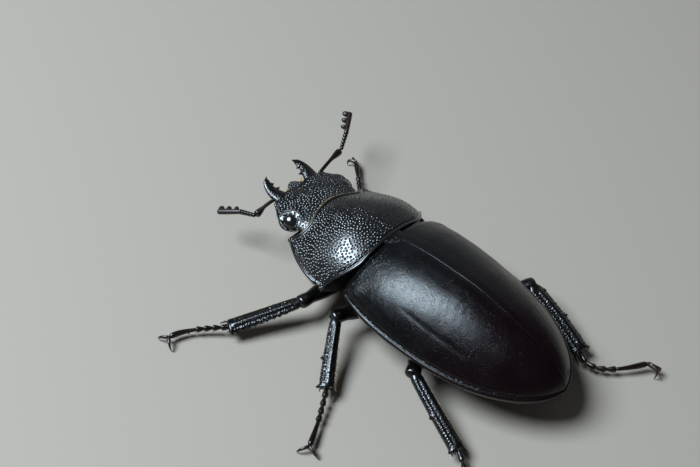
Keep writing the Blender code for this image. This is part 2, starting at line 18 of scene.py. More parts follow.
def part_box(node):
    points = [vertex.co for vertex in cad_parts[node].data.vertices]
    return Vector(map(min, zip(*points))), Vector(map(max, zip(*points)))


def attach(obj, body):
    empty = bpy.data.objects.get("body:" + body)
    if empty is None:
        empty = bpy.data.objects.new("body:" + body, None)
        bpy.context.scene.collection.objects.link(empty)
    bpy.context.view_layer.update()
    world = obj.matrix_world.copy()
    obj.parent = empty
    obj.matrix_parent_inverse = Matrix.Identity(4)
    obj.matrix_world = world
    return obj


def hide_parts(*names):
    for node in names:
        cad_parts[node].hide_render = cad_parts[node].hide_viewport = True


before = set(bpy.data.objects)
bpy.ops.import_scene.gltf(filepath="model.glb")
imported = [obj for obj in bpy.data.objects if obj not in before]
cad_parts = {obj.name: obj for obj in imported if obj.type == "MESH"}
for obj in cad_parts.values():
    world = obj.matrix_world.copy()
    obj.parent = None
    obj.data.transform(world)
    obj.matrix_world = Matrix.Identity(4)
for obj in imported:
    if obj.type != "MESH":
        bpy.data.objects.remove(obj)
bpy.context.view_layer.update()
MM = 0.001
UP = (0, 0, 1)
SIDES = {"left": 1, "right": -1}

# ------------------------ sizes, as in the CAD model

ELYTRA_BASE_Y = 0.55
ELYTRA_APEX_Y = 18.9
ELYTRA_WIDEST_Y = 5.8
ELYTRA_HALF_WIDTH = 6.42
ELYTRA_SHOULDER_REACH = 8.3
ELYTRA_CREST_Y = 9.0
ELYTRA_CREST_Z = 8.2
ELYTRA_FRONT_DROP = 1.0
ELYTRA_MARGIN_Z = 3.9
ELYTRA_TAIL_Z = 3.95
ELYTRA_SHELL = 0.6
TRUNK_INSET = ELYTRA_SHELL + 0.12
PRONOTUM_FRONT_Y = -7.25
PRONOTUM_HIND_Y = 0.3
PRONOTUM_FRONT_HALF = 4.35
PRONOTUM_HALF_WIDTH = 6.25
PRONOTUM_WIDEST = 0.9
PRONOTUM_MARGIN_Z = 3.45
PRONOTUM_FRONT_Z = 5.4
PRONOTUM_RISE = 1.9
PRONOTUM_TOP_AT = 0.68
PRONOTUM_HIND_DROP = 1.4
PRONOTUM_RIM = 0.35
BREAST_Z = 1.95
WAIST_Y = 7.8
HEAD_FRONT_Y = -11.15
HEAD_REAR_HALF = 3.5
HEAD_CANTHUS_HALF = 3.95
HEAD_FRONT_HALF = 2.9
HEAD_RIM_Z = 4.3
HEAD_TOP_Z = 5.2
HEAD_THROAT_Z = 2.7
EYE_CENTRE = np.array((3.08, -8.55, 3.9))
EYE_RADII = np.array((0.88, 0.93, 0.88))
MANDIBLE_BASE_Y = -11.3
MANDIBLE_TIP_Y = -13.5
MANDIBLE_BASE_Z = 4.1
COXA_RADII = {"front": (1.25, 0.8, 0.8), "middle": (1.2, 0.85, 0.8), "hind": (1.9, 0.8, 0.75)}
COXA_INNER = 0.7
COXA_RISE = 0.35
KNEE_RADIUS = 0.55
SHIN_START = 0.12
# A thigh's least half width and half thickness, and how much each grows at the knee.
THIGH_LEAST = (0.58, 0.46)
KNEE_FLARE = (0.08, 0.05)
# Where a foot's five joints begin and end along it, with half the width of a joint's neck and end.
FOOT_SHARES = (0.0, 0.17, 0.3, 0.43, 0.56, 1.0)
FOOT_JOINT = (0.14, 0.28)
FOOT_LAST_JOINT = (0.17, 0.27)
CLAW_REACH = 0.5
CLAW_SPREAD = 0.85
CLAW_THICK = 0.165
# How a foot's claws are turned (degrees about the upright), spread and stretched, as a share.
USUAL_CLAWS = (0.0, 1.0, 1.0)
CLAW_POSE = {"hind_right": (-55.0, 0.45, 2.0), "front_right": (38.0, 0.45, 1.5)}

# Each antenna's base and elbow, the end of its beads and the tip of its club.
ANTENNAE = {
    "left": ((3.1, -11.3, 4.3), (5.55, -10.5, 5.05), (5.8, -12.3, 4.33), (6.85, -14.2, 3.62)),
    "right": ((-3.2, -11.1, 4.3), (-6.1, -11.6, 4.6), (-8.28, -13.02, 4.6), (-10.17, -14.42, 5.0)),
}
ANTENNA_BEADS = 6
CLUB_LOBES = 3
# Each leg's hip, knee and ankle, the bend of its foot and its toe.
LEGS = {
    "front_left": ((2.0, -2.2, 1.3), (7.6, -2.35, 2.4), (13.4, -5.4, 1.1),
                   (15.7, -7.5, 0.75), (17.4, -8.2, 0.7)),
    "front_right": ((-2.0, -2.2, 1.3), (-6.9, -2.2, 1.4), (-5.95, -8.6, 1.0),
                    (-7.4, -10.3, 0.7), (-8.92, -12.1, 0.7)),
    "middle_left": ((2.5, 2.0, 1.5), (6.95, 0.95, 2.8), (11.8, 4.7, 1.1),
                    (14.0, 6.1, 0.7), (16.1, 7.25, 0.65)),
    "middle_right": ((-2.5, 2.0, 1.5), (-6.8, 0.6, 2.1), (-7.55, 6.6, 1.0),
                     (-7.4, 9.2, 0.7), (-6.9, 11.8, 0.65)),
    "hind_left": ((2.6, 6.9, 1.5), (6.5, 9.1, 2.9), (8.4, 15.7, 1.1),
                  (9.4, 17.4, 0.8), (11.6, 20.0, 0.75)),
    "hind_right": ((-2.6, 6.9, 1.5), (-7.5, 10.05, 2.8), (-6.1, 16.9, 1.1),
                   (-6.2, 18.9, 0.8), (-9.4, 21.4, 0.95)),
}
# Half the width and half the thickness of the thigh and of the shin's end; the shin's first width
# as a share of its last, half its neck's width, how far it bows outwards, and how high its grains
# stand; how far the teeth on its outer edge stand out, and their places.
Build = namedtuple("Build", "thigh shin start neck bow grain tooth teeth")
LEG_BUILD = {
    "front": Build((0.85, 0.55), (0.7, 0.42), 0.8, 0.42, 0.0, 0.05, 0.22,
                   (0.2, 0.29, 0.38, 0.47, 0.56, 0.65, 0.74, 0.83, 0.91, 0.985)),
    "middle": Build((0.75, 0.55), (0.6, 0.44), 0.8, 0.42, 0.05, 0.06, 0.3, (0.56, 0.985)),
    "hind_left": Build((0.8, 0.55), (0.62, 0.46), 0.84, 0.46, 0.05, 0.025, 0.2, (0.52, 0.985)),
    "hind_right": Build((0.8, 0.55), (0.78, 0.5), 0.92, 0.54, 0.18, 0.07, 0.3, (0.1, 0.5, 0.985)),
}

shield_low, shield_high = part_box("pronotum")
ORIGIN = np.array(((shield_low.x + shield_high.x) / 2, shield_high.y - PRONOTUM_HIND_Y * MM, 0.0))

# ------------------------ sizes of the shell's relief

# Pits: the gap between two, their radius and depth, how many are tried, and the least weight that
# one needs. With a depth below 0 they are grains that stand out.
Pits = namedtuple("Pits", "gap radius depth tries least", defaults=(0.0,))
PITS = {
    "wing_case": Pits(0.26, 0.07, 0.022, 9000, 0.15),
    "wing_case_margin": Pits(0.42, 0.12, 0.06, 3000, 0.4),
    "scutellum": Pits(0.24, 0.08, 0.04, 2500),
    "trunk": Pits(0.24, 0.085, 0.05, 14000, 0.05),
    "shield": Pits(0.228, 0.108, 0.054, 28000),
    "prosternum": Pits(0.24, 0.09, 0.05, 14000, 0.05),
    "head": Pits(0.232, 0.108, 0.056, 14000, 0.05),
    "throat": Pits(0.22, 0.09, 0.05, 5000, 0.05),
    "canthus": Pits(0.17, 0.08, 0.05, 900),
    "mandible": Pits(0.19, 0.085, 0.045, 4000, 0.05),
    "labrum": Pits(0.19, 0.1, -0.07, 1500),
    "coxa": Pits(0.24, 0.08, 0.04, 3500),
    "thigh": Pits(0.24, 0.075, 0.035, 6000, 0.05),
    "shin": Pits(0.22, 0.095, 0.06, 9000, 0.1),
}
# A rim: its bead's height, distance from the edge and width; the depth, distance and width of the
# gutter inside it; and where the pits inside that begin, and over what distance they grow.
Rim = namedtuple("Rim", "rise at width gutter gutter_at gutter_width pits_from pits_fade",
                 defaults=(0.0, 0.0, 1.0, 0.0, 1.0))
SEAM_RIM = Rim(0.022, 0.06, 0.08)
MARGIN_RIM = Rim(0.085, 0.16, 0.18, 0.06, 0.46, 0.13)
SHIELD_FRONT_RIM = Rim(0.12, 0.13, 0.14, 0.05, 0.36, 0.08, 0.3, 0.12)
SHIELD_HIND_RIM = Rim(0.06, 0.12, 0.13, 0.05, 0.34, 0.08, 0.3, 0.15)
SHIELD_SIDE_RIM = Rim(0.09, 0.13, 0.15, 0.08, 0.4, 0.12, 0.25, 0.15)
HEAD_RIM = Rim(0.03, 0.12, 0.16)
# A long furrow of a wing case: its place from seam to margin, depth and width; where along the
# case it begins and ends, and the stretches over which it fades.
Furrow = namedtuple("Furrow", "place depth width start fade_in end fade_out",
                    defaults=(0.0, 0.1, 0.96, 0.3))
FURROWS = (Furrow(0.52, 0.026, 0.2, 0.24, 0.12, 0.68, 0.14), Furrow(0.13, 0.012, 0.3),
           Furrow(0.32, 0.008, 0.25), Furrow(0.7, 0.012, 0.25), Furrow(0.86, 0.012, 0.2))
# A swelling, or a hollow where it rises by less than 0: its place and spread across and along the
# body. A shoulder's place is a share of the way from seam to margin, and a distance from the base.
Swelling = namedtuple("Swelling", "rise x width y length")
SHOULDER = Swelling(0.2, 0.76, 1.0, 1.1, 0.9)
HEAD_SWELLINGS = (Swelling(-0.16, 0.0, 1.3, -10.3, 0.8), Swelling(0.14, 0.55, 0.3, -9.7, 0.32),
                  Swelling(0.1, 2.75, 0.4, -10.6, 0.45))


# ------------------------ small helpers

def mix(a, b, t):
    return a + (b - a) * t


def arch(t, flatness, roundness):
    """1 at t = 0, falling to 0 at t = 1; a high flatness keeps it level for longer."""
    return np.maximum(0.0, 1.0 - np.abs(t) ** flatness) ** (1.0 / roundness)


def crowded(t):
    """Places from 0 to 1, drawn closer together near both ends."""
    return 0.5 - 0.5 * np.cos(pi * t)


def smooth(t):
    t = np.clip(t, 0.0, 1.0)
    return t * t * (3 - 2 * t)


def ramp(t, start, length):
    """0 up to the start and 1 a length further on; a length below 0 runs the other way."""
    return smooth((t - start) / length)


def window(t, start, fade_in, end, fade_out):
    """1 between two places, fading to 0 at both of them."""
    return ramp(t, start, fade_in) * ramp(t, end, -fade_out)


def hump(distance, width):
    """A round bead's cross-section: 1 on its middle line, 0 beyond its width."""
    return np.sqrt(np.maximum(0.0, 1.0 - (distance / width) ** 2))


def groove(distance, width):
    """A bell-shaped cross-section: 1 on its middle line."""
    return np.exp(-(distance / width) ** 2)


def round_off(to_end, length, least=0.0, power=2):
    """1, falling as a round end does over the last length of a limb."""
    return np.sqrt(np.maximum(least, 1 - np.maximum(0, 1 - to_end / length) ** power))


def vec(x, y, z):
    return np.array((x, y, z), float)


def steps(count):
    """Places from 0 to 1."""
    return np.linspace(0, 1, count)


def rows_down(count):
    """Places from 0 to 1 down the rows of a grid."""
    return steps(count)[:, None]


def cols_across(first, last, count):
    return np.linspace(first, last, count)[None]


def turns(count):
    """The angles of the points round a ring."""
    return np.linspace(0, 2 * pi, count, endpoint=False)


def unit(v):
    v = np.asarray(v, float)
    return v / np.linalg.norm(v, axis=-1, keepdims=True)


def lerp_path(a, b, stations, bend=(0, 0, 0)):
    """Points on the line from a to b, bent by an offset at its middle."""
    sag = 4 * stations * (1 - stations)
    return a + (b - a) * stations[:, None] + np.asarray(bend, float) * sag[:, None]


def wave(points, scale, seed):
    """Smooth low noise between about -1 and 1, a sum of sines in turned directions."""
    turn = np.random.default_rng(seed)
    total = np.zeros(points.shape[:-1])
    for _ in range(7):
        direction = unit(turn.normal(size=3))
        phase = turn.uniform(0, 2 * pi)
        total += np.sin(points @ direction * (2 * pi / (scale * turn.uniform(0.7, 1.5))) + phase)
    return total / 4


# ------------------------ meshes from grids

class Pile:
    """Points and faces gathered into one mesh, with a bake patch for each point where asked."""

    def __init__(self):
        self.points, self.faces, self.patches = [], [], []

    def loft(self, rings, patches=()):
        """Adds a body through closed rings, with its two ends capped and its faces outwards."""
        rows, cols = rings.shape[:2]
        points = np.concatenate([rings.reshape(-1, 3), rings[0].mean(0)[None], rings[-1].mean(0)[None]])
        i = np.arange(rows - 1)[:, None] * cols
        j = np.arange(cols)
        k = (j + 1) % cols
        quads = np.stack([i + j, i + k, i + cols + k, i + cols + j], -1).reshape(-1, 4)
        first = np.stack([k, j, np.full(cols, rows * cols)], -1)
        last = (rows - 1) * cols + np.stack([j, k, np.full(cols, cols + 1)], -1)
        a, b, c, d = np.moveaxis(points[quads], 1, 0)
        outwards = (np.cross(c - a, d - b) * (a + c - 2 * points.mean(0))).sum() > 0
        start = len(self.points)
        for block in (quads, first, last):
            self.faces += (start + (block if outwards else block[:, ::-1])).tolist()
        self.points += (points * MM + ORIGIN).tolist()
        self.patches += list(patches)

    def build(self, name, mat, slot, *nodes):
        """Makes the pile one piece, in the place of the named nodes; slot is not used."""
        mesh = bpy.data.meshes.new(name)
        mesh.from_pydata(self.points, [], self.faces)
        mesh.validate()
        mesh.shade_smooth()
        if self.patches:
            corners = [corner for face in self.faces for corner in face]
            layer = mesh.uv_layers.new(name="OFBake")
            layer.data.foreach_set("uv", np.array(self.patches)[corners].ravel())
        mesh.materials.append(mat)
        piece = bpy.data.objects.new(name, mesh)
        bpy.context.scene.collection.objects.link(piece)
        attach(piece, "root")
        if nodes:
            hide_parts(*nodes)


def loft_piece(strips, name, mat, slot, *nodes):
    """One piece whose rings are made up of strips, side by side."""
    pile = Pile()
    pile.loft(np.concatenate(strips, axis=1))
    pile.build(name, mat, slot, *nodes)


def tube(path, half_width, half_thick, outer, sides, edge=0.0):
    """Rings across a path. outer is the direction of the outer side; edge is how far, at each
    station, a keen ridge stands out beyond the outer reach."""
    tangent = unit(np.gradient(path, axis=0))
    outer = np.broadcast_to(np.asarray(outer, float), path.shape)
    side = unit(outer - (outer * tangent).sum(-1, keepdims=True) * tangent)
    thick = np.cross(tangent, side)
    angle = turns(sides)[None]
    wide, half, keen = (np.broadcast_to(np.asarray(reach, float), len(path))[:, None]
                        for reach in (half_width, half_thick, edge))
    reach = wide * np.cos(angle) + keen * np.maximum(0, np.cos(angle)) ** 5
    lift = half * np.sin(angle)
    return path[:, None] + side[:, None] * reach[..., None] + thick[:, None] * lift[..., None]


def spindle(pile, start, end, base, tip, sides=24, rows=22, bulge=0.0):
    """A limb joint: rounded at both ends, with its own width at each and a bulge between."""
    s = crowded(steps(rows))
    radius = mix(base, tip, s) + bulge * np.sin(pi * s)
    cap = min(0.45, 0.5 * (base + tip) / np.linalg.norm(end - start))
    radius = radius * (round_off(np.minimum(s, 1 - s), cap) + 0.02)
    pile.loft(tube(lerp_path(start, end, s), radius, radius, UP, sides))


def ball(centre, axes, rows, cols):
    """A closed grid on an ellipsoid; axes are three vectors, and the poles lie on the last one."""
    a, b, c = np.asarray(axes, float)
    polar = np.linspace(0.02, pi - 0.02, rows)[:, None, None]
    turn = turns(cols)[None, :, None]
    return centre + np.sin(polar) * (np.cos(turn) * a + np.sin(turn) * b) + np.cos(polar) * c


# ------------------------ relief

def slopes(grid, closed):
    """Differences along the rows' and columns' directions."""
    if closed:
        across = np.roll(grid, -1, axis=1) - np.roll(grid, 1, axis=1)
    else:
        across = np.gradient(grid, axis=1)
    return across, np.gradient(grid, axis=0)


def normals(grid, closed=False, away_from=None):
    """Unit normals of a grid of points, pointing away from a point inside the body."""
    n = np.cross(*slopes(grid, closed))
    n /= np.maximum(np.linalg.norm(n, axis=-1, keepdims=True), 1e-12)
    inside = grid.mean(axis=(0, 1)) if away_from is None else np.array(away_from)
    sign = np.sign(((grid - inside) * n).sum(-1).mean())
    return n * (sign if sign else 1.0)


def run_lengths(grid, axis):
    """Distance in mm from the grid's first line, measured along an axis of the grid."""
    step = np.linalg.norm(np.diff(grid, axis=axis), axis=-1)
    pad = [(0, 0), (0, 0)]
    pad[axis] = (1, 0)
    return np.cumsum(np.pad(step, pad), axis=axis)


def rim_relief(rim, distance):
    """The height of a rim's bead and gutter at a distance from the edge."""
    gutter = rim.gutter * groove(distance - rim.gutter_at, rim.gutter_width)
    return rim.rise * hump(distance - rim.at, rim.width) - gutter


def swelling_relief(swelling, off_x, off_y):
    """The height of a swelling at a distance across and along from its middle."""
    return swelling.rise * groove(off_x, swelling.width) * groove(off_y, swelling.length)


def scatter(grid, weight, pits, seed, closed):
    """Random points of a grid that keep the pits' gap, denser where weight is high."""
    turn = np.random.default_rng(seed)
    flat = grid.reshape(-1, 3)
    chance = (np.linalg.norm(np.cross(*slopes(grid, closed)), axis=-1) * weight).ravel()
    picks = turn.choice(len(flat), size=pits.tries, p=chance / chance.sum())
    cells = {}
    kept = []
    for k in picks:
        p = flat[k]
        x, y, z = (p // pits.gap).astype(int)
        around = (cells.get((x + i, y + j, z + h), ()) for i, j, h in product((-1, 0, 1), repeat=3))
        gaps = (flat[other] - p for cell in around for other in cell)
        if all(gap @ gap >= pits.gap * pits.gap for gap in gaps):
            cells.setdefault((x, y, z), []).append(k)
            kept.append(k)
    return np.array(kept, int)


def pitted(grid, normal, weight, pits, seed, closed=False):
    """The grid with round pits sunk into it where weight allows, each with a low lip round it."""
    weight = np.broadcast_to(np.where(np.asarray(weight) > pits.least, weight, 0.0), grid.shape[:2])
    roots = scatter(grid, weight, pits, seed, closed)
    flat = grid.reshape(-1, 3)
    tree = KDTree(len(roots))
    for k, root in enumerate(roots):
        tree.insert(flat[root], k)
    tree.balance()
    smallest, largest = 0.75, 1.15
    lip_rise, lip_at, lip_width, lip_end = 0.14, 1.12, 0.25, 1.6
    sizes = np.random.default_rng(seed + 1).uniform(smallest, largest, len(roots)) * pits.radius
    sizes *= mix(0.55, 1.0, np.clip(weight.ravel()[roots], 0, 1))
    sink = np.zeros(len(flat))
    for i in np.nonzero(weight.ravel() > 0)[0]:
        _, k, distance = tree.find(flat[i])
        reach = distance / sizes[k]
        if reach < lip_end:
            bowl = max(0.0, 1 - reach * reach)
            lip = lip_rise * math.exp(-((reach - lip_at) / lip_width) ** 2)
            sink[i] = (bowl - lip) * sizes[k] / pits.radius
    return grid - normal * (sink * pits.depth).reshape(grid.shape[:2])[..., None]


def pitted_limb(rings, weight, pits, seed):
    return pitted(rings, normals(rings, True), weight, pits, seed, True)


# ------------------------ materials

def node_material(name):
    mat = bpy.data.materials.new(name)
    mat.use_nodes = True
    tree = mat.node_tree
    return mat, tree, tree.nodes["Principled BSDF"]


def set_inputs(node, **values):
    for key, value in values.items():
        node.inputs[key.replace("_", " ")].default_value = value


def add_node(tree, kind, **values):
    node = tree.nodes.new(kind)
    set_inputs(node, **values)
    return node


def lay_on_body(tree, *textures):
    """Lays textures in the body's own coordinates, and returns the socket of those."""
    place = tree.nodes.new("ShaderNodeTexCoord").outputs["Object"]
    for texture in textures:
        tree.links.new(place, texture.inputs["Vector"])
    return place


def blend_colours(tree, factor, first, second):
    """A socket that runs between two colours as the factor goes from 0 to 1."""
    ramp = tree.nodes.new("ShaderNodeValToRGB")
    ramp.color_ramp.elements[0].color = (*first, 1)
    ramp.color_ramp.elements[1].color = (*second, 1)
    tree.links.new(factor, ramp.inputs["Fac"])
    return ramp.outputs["Color"]


def rescale(tree, value, low, high, to_low=0.0, to_high=1.0):
    node = add_node(tree, "ShaderNodeMapRange", From_Min=low, From_Max=high, To_Min=to_low, To_Max=to_high)
    tree.links.new(value, node.inputs["Value"])
    return node.outputs["Result"]


def bumps(tree, layers):
    """Bump nodes in a chain; each layer is a height socket and its height in mm."""
    normal = None
    for height, distance in layers:
        bump = add_node(tree, "ShaderNodeBump", Strength=1.0, Distance=distance * MM)
        tree.links.new(height, bump.inputs["Height"])
        if normal is not None:
            tree.links.new(normal, bump.inputs["Normal"])
        normal = bump.outputs["Normal"]
    return normal


def chitin(name, dark, light, roughness, pits, coat, ior=1.56, grain=0.0022, coat_roughness=0.12, tint=None):
    """Horny shell: near-black, its gloss varied by wear, with pits and grain too small to model as
    shapes. pits is their gap and depth and grain its depth, in mm. tint is a colour and the places
    along the body where it starts and is full."""
    mat, tree, shader = node_material(name)
    gap, depth = pits
    cloud = add_node(tree, "ShaderNodeTexNoise", Scale=420.0, Detail=4.0, Roughness=0.6)
    grains = add_node(tree, "ShaderNodeTexNoise", Scale=7000.0, Detail=3.0, Roughness=0.6)
    holes = add_node(tree, "ShaderNodeTexVoronoi", Scale=1.0 / (gap * MM), Randomness=0.85)
    place = lay_on_body(tree, cloud, grains, holes)
    colour = blend_colours(tree, rescale(tree, cloud.outputs["Fac"], 0.35, 0.7), dark, light)
    if tint:
        shade, start, end = tint
        split = tree.nodes.new("ShaderNodeSeparateXYZ")
        tree.links.new(place, split.inputs["Vector"])
        share = rescale(tree, split.outputs["Y"], start * MM + ORIGIN[1], end * MM + ORIGIN[1])
        blend = tree.nodes.new("ShaderNodeMix")
        blend.data_type = "RGBA"
        tree.links.new(share, blend.inputs["Factor"])
        tree.links.new(colour, blend.inputs["A"])
        blend.inputs["B"].default_value = (*shade, 1)
        colour = blend.outputs["Result"]
    tree.links.new(colour, shader.inputs["Base Color"])
    worn = rescale(tree, cloud.outputs["Fac"], 0.3, 0.75, roughness * 0.82, roughness * 1.2)
    tree.links.new(worn, shader.inputs["Roughness"])
    bowl = rescale(tree, holes.outputs["Distance"], 0.0, 0.34)
    tree.links.new(bumps(tree, [(bowl, depth), (grains.outputs["Fac"], grain)]), shader.inputs["Normal"])
    set_inputs(shader, IOR=ior, Coat_Weight=coat, Coat_Roughness=coat_roughness)
    return mat


def eye_material():
    """A glossy dark cornea of small facets."""
    mat, tree, shader = node_material("eye_cornea")
    facet_width, facet_depth = 0.034, 0.0035
    facets = add_node(tree, "ShaderNodeTexVoronoi", Scale=1.0 / (facet_width * MM), Randomness=0.12)
    depth = add_node(tree, "ShaderNodeTexNoise", Scale=700.0, Detail=2.0)
    lay_on_body(tree, facets, depth)
    colour = blend_colours(tree, depth.outputs["Fac"], (0.004, 0.004, 0.005), (0.012, 0.011, 0.011))
    tree.links.new(colour, shader.inputs["Base Color"])
    tree.links.new(bumps(tree, [(facets.outputs["Distance"], -facet_depth)]), shader.inputs["Normal"])
    set_inputs(shader, Roughness=0.13, IOR=1.6, Coat_Weight=0.8, Coat_Roughness=0.05)
    return mat


def fibre_material(name, dark, light, roughness, scale, sheen):
    """Hair and felt: lighter and darker strands with a little sheen."""
    mat, tree, shader = node_material(name)
    strands = add_node(tree, "ShaderNodeTexNoise", Scale=scale, Detail=3.0)
    lay_on_body(tree, strands)
    colour = blend_colours(tree, rescale(tree, strands.outputs["Fac"], 0.3, 0.7), dark, light)
    tree.links.new(colour, shader.inputs["Base Color"])
    tree.links.new(bumps(tree, [(strands.outputs["Fac"], 0.01)]), shader.inputs["Normal"])
    set_inputs(shader, Roughness=roughness, Sheen_Weight=sheen)
    return mat


SHIELD = chitin("shield_chitin", dark=(0.0006, 0.0006, 0.0009), light=(0.0015, 0.0015, 0.002),
                roughness=0.28, pits=(0.07, 0.003), coat=0.5, coat_roughness=0.22)
CASE = chitin("wing_case_chitin", dark=(0.0006, 0.0006, 0.0009), light=(0.0015, 0.0012, 0.002),
              roughness=0.28, pits=(0.13, 0.011), coat=0.0, ior=1.39, grain=0.019,
              tint=((0.0035, 0.0004, 0.0014), 6.0, 13.0))
LIMB = chitin("limb_chitin", dark=(0.0008, 0.0008, 0.0011), light=(0.003, 0.002, 0.002),
              roughness=0.27, pits=(0.09, 0.006), coat=0.3, ior=1.48)
BELLY = chitin("belly_chitin", dark=(0.003, 0.0018, 0.0016), light=(0.010, 0.005, 0.004),
               roughness=0.32, pits=(0.09, 0.006), coat=0.5)
FOOT = chitin("foot_chitin", dark=(0.003, 0.0014, 0.0012), light=(0.010, 0.004, 0.003),
              roughness=0.27, pits=(0.06, 0.002), coat=0.15, ior=1.48)
CLAW = chitin("claw_chitin", dark=(0.008, 0.003, 0.002), light=(0.030, 0.010, 0.005),
              roughness=0.28, pits=(0.05, 0.001), coat=0.2)
FEELER = chitin("feeler_chitin", dark=(0.004, 0.0017, 0.0015), light=(0.011, 0.004, 0.003),
                roughness=0.26, pits=(0.06, 0.003), coat=0.25)
EYE = eye_material()
FELT = fibre_material("club_felt", dark=(0.006, 0.0025, 0.002), light=(0.02, 0.008, 0.0055),
                      roughness=0.36, scale=14000.0, sheen=0.02)
HAIR = fibre_material("golden_bristle", dark=(0.30, 0.17, 0.06), light=(0.62, 0.42, 0.18),
                      roughness=0.45, scale=3000.0, sheen=0.2)


# ------------------------ wing cases

def elytra_half_width(y, inset):
    width = ELYTRA_HALF_WIDTH - inset
    tail = np.maximum(0.0, y - ELYTRA_WIDEST_Y) / (ELYTRA_APEX_Y - inset - ELYTRA_WIDEST_Y)
    shoulder = np.maximum(0.0, ELYTRA_WIDEST_Y - y) / ELYTRA_SHOULDER_REACH
    return width * arch(tail, 2.35, 1.75) * arch(shoulder, 1.84, 4.3)


def elytra_margin_z(y):
    return mix(ELYTRA_MARGIN_Z, ELYTRA_TAIL_Z, y / ELYTRA_APEX_Y)


def elytra_crest_z(y, inset):
    crest = ELYTRA_CREST_Z - inset
    front = crest - ELYTRA_FRONT_DROP * ((ELYTRA_CREST_Y - y) / ELYTRA_CREST_Y) ** 2
    margin = elytra_margin_z(y)
    tail = np.maximum(0.0, y - ELYTRA_CREST_Y) / (ELYTRA_APEX_Y - inset - ELYTRA_CREST_Y)
    return np.where(y < ELYTRA_CREST_Y, front, margin + (crest - margin) * arch(tail, 1.4, 2.08))


def dome(across, y, inset, seam=0.0):
    """Points on the wing cases' surface; across runs from the seam, 0, to the margin, 1 or -1."""
    reach = np.sin(0.5 * pi * across)
    width = np.maximum(elytra_half_width(y, inset), seam + 0.05)
    x = np.copysign(seam, reach) + (width - seam) * reach
    margin = elytra_margin_z(y)
    roundness = mix(1.7, 1.1, np.minimum(1.0, y / ELYTRA_CREST_Y))
    z = margin + (elytra_crest_z(y, inset) - margin) * arch(reach, 2.1, roundness)
    return x, y, z


def elytron(word, side):
    """One wing case: a fine bead along its seam, a rim along its margin, long shallow furrows, a
    swollen shoulder, and pits over its base and flank and along its margin."""
    rows, cols, inner_cols = 330, 170, 18
    seam, tip_share, base_sweep = 0.05, 0.9985, 0.3
    # Two steps down to the shield: depth, reach from the base, and how keenly each bends.
    base_drops = ((0.1, 0.6, 2), (0.18, 3.2, 1))
    v = crowded(rows_down(rows))
    u = cols_across(0, 1, cols)

    def surface(u, inset):
        end = mix(ELYTRA_BASE_Y, ELYTRA_APEX_Y - inset, tip_share)
        x, y, z = dome(u + 0 * v, mix(ELYTRA_BASE_Y, end, v) + 0 * u, inset, seam)
        y = y - base_sweep * (np.abs(x) / 5) ** 4 * (1 - v) ** 3
        return np.stack([side * x, y, z], -1)

    top = surface(u, 0.0)
    out = normals(top, away_from=(0, 9.0, 2.0))
    from_seam = run_lengths(top, 1)
    girth = from_seam[:, -1:]
    to_margin = girth - from_seam
    from_base = run_lengths(top, 0)
    height = rim_relief(SEAM_RIM, from_seam) + rim_relief(MARGIN_RIM, to_margin)
    for depth, reach, power in base_drops:
        height = height - depth * (1 - smooth(from_base / reach)) ** power
    height += swelling_relief(SHOULDER, (u - SHOULDER.x) * girth, from_base - SHOULDER.y)
    for furrow in FURROWS:
        fade = window(v, furrow.start, furrow.fade_in, furrow.end, furrow.fade_out)
        height = height - furrow.depth * fade * groove((u - furrow.place) * girth, furrow.width)
    height = height + 0.014 * wave(top, scale=2.6, seed=3) + 0.004 * wave(top, scale=0.9, seed=5)
    top = top + out * height[..., None]
    free = ramp(from_seam, 0.4, 0.2) * ramp(to_margin, 0.35, 0.2) * smooth(from_base / 0.3)
    flank = 0.4 * ramp(u, 0.55, 0.4) * ramp(v, 0.95, -0.3)
    base = 0.8 * ramp(v, 0.26, -0.24)
    top = pitted(top, out, free * np.clip(flank + base, 0, 1), PITS["wing_case"], 11 + side)
    gutter = groove(to_margin - MARGIN_RIM.gutter_at, 0.1) * (to_margin > 0.3)
    top = pitted(top, out, gutter, PITS["wing_case_margin"], 31 + side)
    fold = top[:, -1:] + vec(-0.10 * side, 0, -0.30)
    under = surface(cols_across(1, 0, inner_cols), ELYTRA_SHELL)
    loft_piece([top, fold, under], "wing_case_" + word, CASE, "wing_case", "elytron_" + word)


def scutellum():
    """The small plate between the wing cases, pitted in its middle and smooth at its edges."""
    rows, cols = 60, 70
    length, half_width, thickness = 1.4, 0.95, 0.5
    v = rows_down(rows)
    u = cols_across(-1, 1, cols)
    y = mix(ELYTRA_BASE_Y - 0.2, ELYTRA_BASE_Y + length, v)
    half = half_width * arch(v * 0.985, 1.5, 1.1)
    crest = elytra_crest_z(np.maximum(y, ELYTRA_BASE_Y), 0.0) - 0.13 - 0.1 * (1 - smooth(v / 0.35)) ** 2
    top = np.stack([u * half, y + 0 * u, crest - 0.1 * np.abs(u) ** 3], -1)
    out = normals(top, away_from=(0, 1.0, 0.0))
    free = ramp(np.abs(u), 0.8, -0.2) * window(v, 0.1, 0.1, 0.8, 0.1)
    top = pitted(top, out, free, PITS["scutellum"], 5)
    under = top[:, ::-1][:, ::6] - vec(0, 0, thickness)
    loft_piece([top, under], "scutellum_plate", CASE, "black_chitin", "scutellum")


# ------------------------ trunk

def belly_z(across, y):
    rise = np.maximum(0.0, (y - WAIST_Y) / (ELYTRA_APEX_Y - WAIST_Y)) ** 2
    edge = elytra_margin_z(y) - PRONOTUM_RIM
    return mix(BREAST_Z + rise, edge, np.abs(across) ** 1.7)


